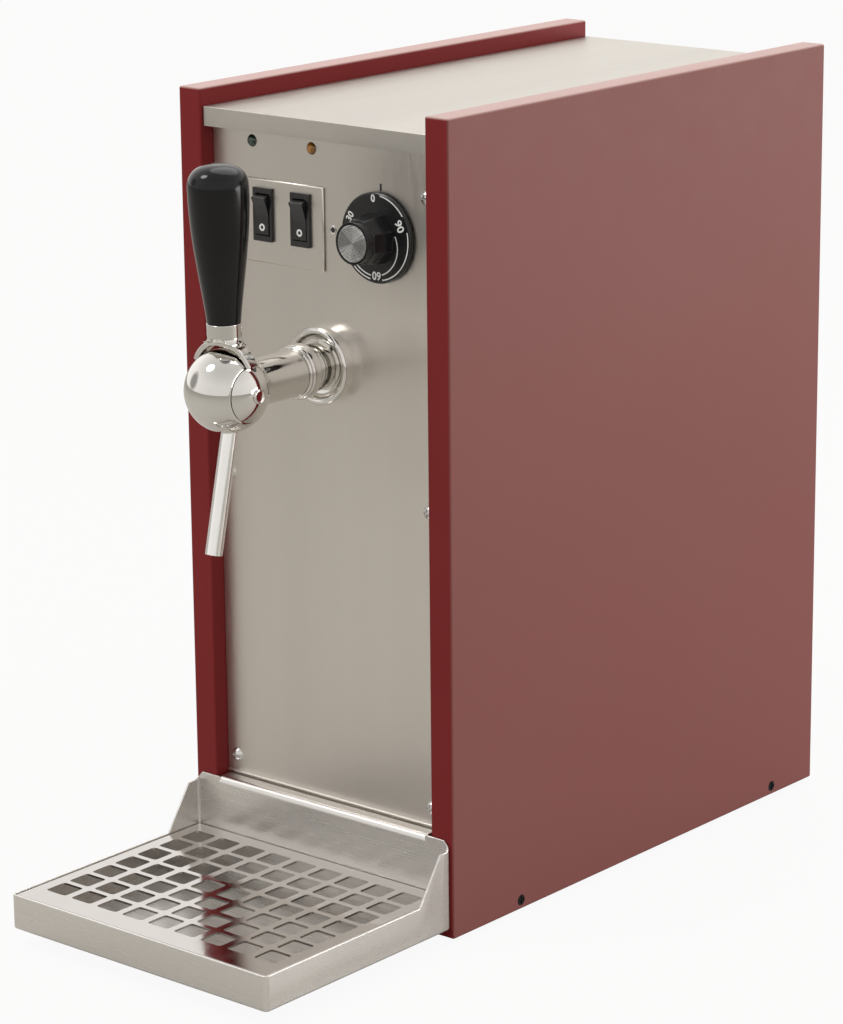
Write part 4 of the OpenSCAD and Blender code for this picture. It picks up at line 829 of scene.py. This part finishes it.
def make_dial_print():
    """Numbers and the widening heat band on the dial's skirt."""
    bm = bmesh.new()
    face_y = DIAL_BACK - SKIRT_T * MM
    numbers = (("0", 5.6, -4, 21.6), ("30", 5.6, -61, 20.6), ("60", 6.2, 179, 20.4), ("90", 6.8, 64, 18.8))
    for text, height, turn, radius in numbers:
        mesh = number_mesh(text, height, turn, radius, face_y)
        bm.from_mesh(mesh)
        bpy.data.meshes.remove(mesh)
    for start, end, radius in ((8, 54, 23.7), (76, 169, 23.0), (190, 222, 23.0)):
        arc = [dial_point(a, radius) for a in spread_over(start, end, 40)]
        add_stroke(bm, arc, PRINT_LINE * MM, face_y)
    narrow_end, narrow_r, widening, length = 190, 21.0, 6.6, 106
    for start, end in ((80, 168), (narrow_end, 222)):
        inner = [
            dial_point(a, narrow_r - widening * (max(0, narrow_end - a) / length) ** 1.3)
            for a in spread_over(start, end, 40)
        ]
        add_stroke(bm, inner, PRINT_LINE * MM, face_y)
    finish_piece("dial_print", bm, "dial", material=WHITE_INK)


def make_tick():
    """Black mark on the front panel over the dial."""
    bm = bmesh.new()
    x, low, high, width = DIAL.x + 1 * MM, 417.2 * MM, 421.4 * MM, 1.4 * MM
    add_stroke(bm, [(x, low), (x, high)], width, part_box("front_panel")[0].y)
    finish_piece("dial_tick", bm, "cabinet", material=BLACK_INK)


def rocker_outline():
    """Side view of a rocker about its pivot, as (y, z): a dished upper half over a flat lower half."""
    radius, crown, rise, skirt, dish = 11.3, 2.33, 1.84, 4.0, 1.9
    tip = math.asin((crown + rise) / radius)
    tail = math.asin(skirt / radius)
    face = []
    for t in spread_over(1, -1, 32):
        lift = rise * abs(t) ** (dish if t > 0 else 1)
        face.append((-crown - lift, radius * math.cos(tip) * t))
    over = [(-radius * math.sin(a), radius * math.cos(a)) for a in spread_over(-tail, tip, 10)]
    under = [(-radius * math.sin(a), -radius * math.cos(a)) for a in spread_over(tip, -tail, 10)]
    return over[:-1] + face + under[1:]


def make_rocker(switch, centre):
    """Glossy rocker with rounded edges, tilted to off."""
    bm = bmesh.new()
    half, tilt = 4.75 * MM, 10
    outline = rocker_outline()
    lofted(bm, [[bm.verts.new((x, y * MM, z * MM)) for y, z in outline] for x in (-half, half)])
    round_edges(bm, sharp_edges(bm, 0.01 * MM), 0.45 * MM)
    turn_all(bm, tilt, "X")
    bmesh.ops.translate(bm, vec=centre, verts=bm.verts)
    body = switch.replace("switch", "rocker")
    finish_piece(switch + "_rocker_gloss", bm, body, "switch_black", [switch + "_rocker"])


def make_switches():
    """Bezels and rockers with eased edges, and the off ring on each rocker's lower half."""
    hole, edge, face, drop = 1.0, 2.05, 2.3, 7.0
    for switch in ("pump_switch", "heater_switch"):
        dress(switch + "_housing", 0.45 * MM, 0.25 * MM, 1 * MM)
        centre = pivot(switch + "_flip")
        make_rocker(switch, centre)
        bm = bmesh.new()
        ring = [(hole, 0), (hole, PRINT_T), (edge, PRINT_T), (edge, 0)]
        turned(bm, ring, (centre.x, centre.y - face * MM, centre.z - drop * MM), (0, -1, 0), 40)
        finish_piece(switch + "_off_ring", bm, switch.replace("switch", "rocker"), material=WHITE_INK)


def make_reset_eyelet():
    """Bright eyelet round the limiter's reset pin."""
    bm = bmesh.new()
    pin = middle_of("limiter_reset_pin")
    eyelet = [(1.5, 0), (1.5, 0.25), (2.0, 0.35), (2.5, 0.2), (2.6, 0)]
    turned(bm, eased(eyelet, 0.1), (pin.x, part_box("front_panel")[0].y, pin.z), (0, -1, 0), 40)
    finish_piece("reset_eyelet", bm, "cabinet", "zinc_screw")


def make_controls():
    make_knob()
    make_cap()
    make_dial_print()
    make_tick()
    make_switches()
    make_reset_eyelet()


# Drip tray

# Its corners, and sizes in millimetres
TRAY_LOW, TRAY_HIGH = (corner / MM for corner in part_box("drip_tray"))
TRAY_SHEET = 1.2
TRAY_CORNER = 3.0
TRAY_RIM = TRAY_LOW.z + 20.5
SPLASH_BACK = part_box("side_panel_left")[0].y / MM - 0.4
WING_FOOT = SPLASH_BACK - 26.6
WING_HEAD = SPLASH_BACK - 8.8
WING_RISE = 26.2
SPLASH_CHAMFER = 4.5
HOOK_HALF = 78.5
HOOK_BEND = 4.0
HOOK_LEG = 6.5
HOOK_START = TRAY_HIGH.z - HOOK_BEND - 0.6


def tray_places():
    """Places round the tray: points of its core rectangle with the way out from each."""
    left, right = TRAY_LOW.x + TRAY_CORNER, TRAY_HIGH.x - TRAY_CORNER
    front, back = TRAY_LOW.y + TRAY_CORNER, SPLASH_BACK - TRAY_CORNER
    step = TRAY_HIGH.x - SPLASH_CHAMFER
    slack = 0.05
    notch = (HOOK_HALF + slack, HOOK_HALF - slack)
    sides = (
        (0, (right, back), [(right, WING_FOOT), (right, WING_HEAD)]),
        (90, (left, back), [(x, back) for x in (step, *notch, -notch[1], -notch[0], -step)]),
        (180, (left, front), [(left, WING_HEAD), (left, WING_FOOT)]),
        (270, (right, front), []),
    )
    places = []
    for turn, corner, stops in sides:
        way = Vector((round(math.cos(math.radians(turn))), round(math.sin(math.radians(turn)))))
        places += [(Vector(stop), way) for stop in stops]
        for angle in spread_over(math.radians(turn), math.radians(turn + 90), 8):
            places.append((Vector(corner), Vector((math.cos(angle), math.sin(angle)))))
    return places


def tray_top(place):
    """Height of the sheet's edge at a place, and whether that edge is free."""
    slack = 0.01
    x, y = place[0] + place[1] * TRAY_CORNER
    if y < SPLASH_BACK - TRAY_CORNER + slack:
        rise = (y - WING_FOOT) / (WING_HEAD - WING_FOOT)
        return TRAY_RIM + WING_RISE * min(1, max(0, rise)), True
    if abs(x) < HOOK_HALF:
        return HOOK_START, False
    return TRAY_HIGH.z - max(0, abs(x) - TRAY_HIGH.x + SPLASH_CHAMFER), True


def add_trough(bm):
    """Folded trough whose rear wall is the splash plate and whose side walls rise to wings."""
    places = tray_places()
    fold, inner_fold, floor = 1.5, 0.9, TRAY_LOW.z + TRAY_SHEET
    quarter = spread_over(0, math.pi / 2, 6)
    under = [(fold * (1 - math.sin(a)), TRAY_LOW.z + fold * (1 - math.cos(a))) for a in quarter]
    inner = [
        (TRAY_SHEET + inner_fold * (1 - math.cos(a)), floor + inner_fold * (1 - math.sin(a)))
        for a in quarter
    ]
    # The sheet's rounded edge, as (inset, drop) pairs
    edge = ((0, -0.4), (0.12, -0.12), (0.4, 0), (0.8, 0), (1.08, -0.12), (TRAY_SHEET, -0.4))

    def ring(inset, height):
        points = [core + way * (TRAY_CORNER - inset) for core, way in places]
        return [bm.verts.new(Vector((p.x, p.y, height(place))) * MM) for p, place in zip(points, places)]

    def edge_height(drop):
        return lambda place: tray_top(place)[0] + drop * tray_top(place)[1]

    def level(height):
        return lambda place: height

    rings = [ring(inset, level(z)) for inset, z in under]
    rings += [ring(inset, edge_height(drop)) for inset, drop in edge]
    rings += [ring(inset, level(z)) for inset, z in inner]
    lofted(bm, rings)


def add_hook(bm):
    """Strip folded back from the splash plate, with a leg down behind the panel's edge."""
    front, top, tight = SPLASH_BACK - TRAY_SHEET, TRAY_HIGH.z, 1.6
    path = [((front + HOOK_BEND, HOOK_START), 180, HOOK_BEND)]
    path += [((front + HOOK_BEND, top - HOOK_BEND), a, HOOK_BEND) for a in spread_over(180, 90, 12)]
    path += [((TRAY_HIGH.y - tight, top - tight), a, tight) for a in spread_over(90, 0, 8)]
    path.append(((TRAY_HIGH.y - tight, top - HOOK_LEG), 0, tight))

    def row(x, inset):
        points = []
        for (y, z), angle, bend in path:
            reach, turn = bend - inset, math.radians(angle)
            place = Vector((x, y + reach * math.cos(turn), z + reach * math.sin(turn)))
            points.append(bm.verts.new(place * MM))
        return points

    left, right = ([row(x, 0), row(x, TRAY_SHEET)] for x in (-HOOK_HALF, HOOK_HALF))
    join_rings(bm, [left[1], left[0], right[0], right[1], left[1]], closed=False)
    for k in (0, -1):
        bm.faces.new([left[0][k], left[1][k], right[1][k], right[0][k]])


def make_panel_edge():
    """Rounded lower fold of the front panel, just over the tray's hook."""
    bm = bmesh.new()
    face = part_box("front_panel")[0].y / MM
    half, radius, height = 81.2, 0.8, TRAY_HIGH.z + 1.1
    turns = spread_over(math.pi / 2, 1.5 * math.pi, 12)
    outline = [(face + radius * math.cos(a), height + radius * math.sin(a)) for a in turns]
    lofted(bm, [[bm.verts.new(Vector((x, y, z)) * MM) for y, z in outline] for x in (-half, half)])
    finish_piece("front_panel_fold", bm, "cabinet", "stainless_panel")


def make_tray():
    """Folded tray with its splash plate, wings and hook."""
    bm = bmesh.new()
    add_trough(bm)
    add_hook(bm)
    finish_piece("drip_tray_sheet", bm, "tray", "stainless_tray", ["drip_tray"])


# Drip grid

GRID_COLS = 9
GRID_ROWS = 7
GRID_PITCH = (19.7 * MM, 18.0 * MM)
GRID_HOLE = (15.1 * MM, 14.6 * MM)
GRID_CORNER = 1.9 * MM
GRID_STEPS = 5
GRID_BORDER = 17.3 * MM
GRID_SHEET = 1.2 * MM


def hole_ring(centre, size, corner):
    """Points round a hole with rounded corners, as (x, y, which corner)."""
    points = []
    for quarter, (sx, sy) in enumerate(((1, 1), (-1, 1), (-1, -1), (1, -1))):
        for angle in spread_over(quarter * 90, quarter * 90 + 90, GRID_STEPS):
            x = centre[0] + sx * (size[0] / 2 - corner) + corner * math.cos(math.radians(angle))
            y = centre[1] + sy * (size[1] / 2 - corner) + corner * math.sin(math.radians(angle))
            points.append((x, y, quarter))
    return points


def add_cell(bm, centre, low, high, z):
    """Adds one cell of the grid: a level field from low to high round a hole."""
    ring = hole_ring(centre, GRID_HOLE, GRID_CORNER)
    corners = ((high[0], high[1]), (low[0], high[1]), (low[0], low[1]), (high[0], low[1]))
    inner, outer = [], []
    for i, (x, y, quarter) in enumerate(ring):
        step = i % (GRID_STEPS + 1)
        cx, cy = corners[quarter]
        on_side = quarter % 2 == 0
        first, last = ((cx, y), (x, cy)) if on_side else ((x, cy), (cx, y))
        place = first if step == 0 else last if step == GRID_STEPS else (cx, cy)
        inner.append(bm.verts.new((x, y, z)))
        outer.append(place)
    made = {}
    for place in outer:
        if place not in made:
            made[place] = bm.verts.new((*place, z))
    for i in range(len(ring)):
        n = (i + 1) % len(ring)
        face = list(dict.fromkeys([inner[i], inner[n], made[outer[n]], made[outer[i]]]))
        bm.faces.new(face)


def make_grid():
    """Perforated grid with rounded holes and turned-down edges."""
    bm = bmesh.new()
    low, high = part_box("drip_grid")
    first_x = -GRID_PITCH[0] * (GRID_COLS - 1) / 2
    first_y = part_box("drip_tray")[0].y + GRID_BORDER + GRID_HOLE[1] / 2
    for col in range(GRID_COLS):
        for row in range(GRID_ROWS):
            x = first_x + col * GRID_PITCH[0]
            y = first_y + row * GRID_PITCH[1]
            left = low.x if col == 0 else x - GRID_PITCH[0] / 2
            right = high.x if col == GRID_COLS - 1 else x + GRID_PITCH[0] / 2
            front = low.y if row == 0 else y - GRID_PITCH[1] / 2
            back = high.y if row == GRID_ROWS - 1 else y + GRID_PITCH[1] / 2
            add_cell(bm, (x, y), (left, front), (right, back), high.z)
    bmesh.ops.remove_doubles(bm, verts=bm.verts, dist=0.005 * MM)
    inside = 0.01 * MM
    border = [
        e for e in bm.edges
        if e.is_boundary and all(
            min(v.co.x - low.x, high.x - v.co.x, v.co.y - low.y, high.y - v.co.y) < inside for v in e.verts
        )
    ]
    walls = bmesh.ops.extrude_edge_only(bm, edges=border)
    down = [v for v in walls["geom"] if isinstance(v, bmesh.types.BMVert)]
    bmesh.ops.translate(bm, verts=down, vec=(0, 0, low.z - high.z))
    round_edges(bm, sharp_edges(bm), 0.9 * MM)
    polish = plated("polished_grid", (0.58, 0.555, 0.53), 0.08, 0.14)
    grid = finish_piece("drip_grid_sheet", bm, "grid", "stainless_tray", ["drip_grid"], polish)
    sheet = grid.modifiers.new("sheet", "SOLIDIFY")
    sheet.thickness = GRID_SHEET
    sheet.offset = -1
    rim = grid.modifiers.new("rim", "BEVEL")
    rim.width = 0.4 * MM
    rim.segments = 2
    rim.limit_method = "ANGLE"
    rim.angle_limit = math.radians(50)
    # The weighted normals come after the sheet and its rim
    grid.modifiers.move(0, 2)


# Studio

# The camera's place, its turn in degrees, and its focal length in pixels of a picture this high
CAMERA_PLACE = (1.31366, -1.56765, 0.76728)
CAMERA_YAW = 40.365
CAMERA_PITCH = 15.258
CAMERA_ROLL = -0.5707
FOCAL_PIXELS = 3648.56
PICTURE_H = 1024

# What the floor reflects, and the share of white in what the camera sees of it
FLOOR_PAPER = (0.48, 0.465, 0.435)
FLOOR_WHITE = 0.93

# What the softboxes point at
LIGHT_TARGET = (0, 0, 0.25)


def add_camera():
    """The photograph's camera: a long lens to the right of the front, looking down."""
    yaw = math.radians(CAMERA_YAW)
    pitch = math.radians(CAMERA_PITCH)
    roll = math.radians(CAMERA_ROLL)
    forward = Vector((-math.sin(yaw) * math.cos(pitch), math.cos(yaw) * math.cos(pitch), -math.sin(pitch)))
    level = Vector((math.cos(yaw), math.sin(yaw), 0))
    upright = level.cross(forward)
    right = level * math.cos(roll) + upright * math.sin(roll)
    up = upright * math.cos(roll) - level * math.sin(roll)
    data = bpy.data.cameras.new("camera")
    data.sensor_fit = "VERTICAL"
    data.sensor_height = 36
    data.lens = FOCAL_PIXELS * data.sensor_height / PICTURE_H
    camera = bpy.data.objects.new("camera", data)
    bpy.context.scene.collection.objects.link(camera)
    turn = Matrix((right, up, -forward)).transposed().to_4x4()
    camera.matrix_world = Matrix.Translation(CAMERA_PLACE) @ turn
    bpy.context.scene.camera = camera


def add_floor():
    """A pale sheet under the object that keeps the object's shadow."""
    half = 9.0
    mesh = bpy.data.meshes.new("floor")
    corners = [(-half, -half, 0), (half, -half, 0), (half, half, 0), (-half, half, 0)]
    mesh.from_pydata(corners, [], [(0, 1, 2, 3)])
    floor = bpy.data.objects.new("floor", mesh)
    bpy.context.scene.collection.objects.link(floor)
    mat = bpy.data.materials.new("floor_white")
    mat.use_nodes = True
    nodes = mat.node_tree.nodes
    nodes.remove(shader(mat))
    paper = add_node(mat, "ShaderNodeBsdfDiffuse", {"Color": (*FLOOR_PAPER, 1)})
    white = add_node(mat, "ShaderNodeEmission", {"Color": (1, 1, 1, 1), "Strength": 1.0})
    seen = add_node(mat, "ShaderNodeLightPath")
    share = compute(mat, "MULTIPLY", seen.outputs["Is Camera Ray"], FLOOR_WHITE)
    mix = add_node(mat, "ShaderNodeMixShader")
    link(mat, share, mix.inputs["Fac"])
    link(mat, paper.outputs["BSDF"], mix.inputs[1])
    link(mat, white.outputs["Emission"], mix.inputs[2])
    link(mat, mix.outputs["Shader"], nodes["Material Output"].inputs["Surface"])
    mesh.materials.append(mat)


def towards(world, place, direction, start, end, low, high):
    """A strength that changes from low to high as a ray turns towards a direction."""
    turn = compute(world, "DOT_PRODUCT", place, Vector(direction).normalized(), kind=VECTOR_MATH)
    return spread(world, turn, start, end, low, high)


def add_world():
    """A pale room, brighter behind and to the left, with a dim ceiling and a dim doorway at the left."""
    world = bpy.data.worlds.new("room")
    world.use_nodes = True
    bpy.context.scene.world = world
    place = add_node(world, "ShaderNodeTexCoord").outputs["Generated"]
    strength = towards(world, place, (-0.5, 0.75, 0.3), start=-0.7, end=0.8, low=0.89, high=1.2)
    ceiling = towards(world, place, (0, 0, 1), start=0.4, end=0.9, low=1.0, high=0.7)
    doorway = towards(world, place, (-0.9, -0.4, 0.22), start=0.95, end=0.985, low=1.0, high=0.35)
    for share in (ceiling, doorway):
        strength = compute(world, "MULTIPLY", strength, share)
    background = world.node_tree.nodes["Background"]
    background.inputs["Color"].default_value = (1.0, 0.985, 0.965, 1)
    link(world, strength, background.inputs["Strength"])


def add_softbox(name, position, width, height, power):
    """An oval soft light that points at the object."""
    data = bpy.data.lights.new(name, "AREA")
    data.shape = "ELLIPSE"
    data.size = width
    data.size_y = height
    data.energy = power
    lamp = bpy.data.objects.new(name, data)
    lamp.location = position
    lamp.rotation_mode = "QUATERNION"
    lamp.rotation_quaternion = (Vector(LIGHT_TARGET) - Vector(position)).to_track_quat("-Z", "Y")
    bpy.context.scene.collection.objects.link(lamp)


def add_studio():
    """Floor, room and three softboxes."""
    add_floor()
    add_world()
    add_softbox("softbox_above", (-0.25, 0.75, 2.0), width=1.8, height=1.8, power=14)
    add_softbox("softbox_left", (-0.72, -0.85, 1.75), width=0.55, height=0.55, power=8)
    add_softbox("softbox_right", (1.5, 1.35, 0.25), width=2.0, height=0.5, power=16.5)
    bpy.context.scene.view_settings.view_transform = "Standard"


paint_nodes()
dress_sheet_metal()
make_tap()
make_controls()
make_tray()
make_panel_edge()
make_grid()
add_camera()
add_studio()
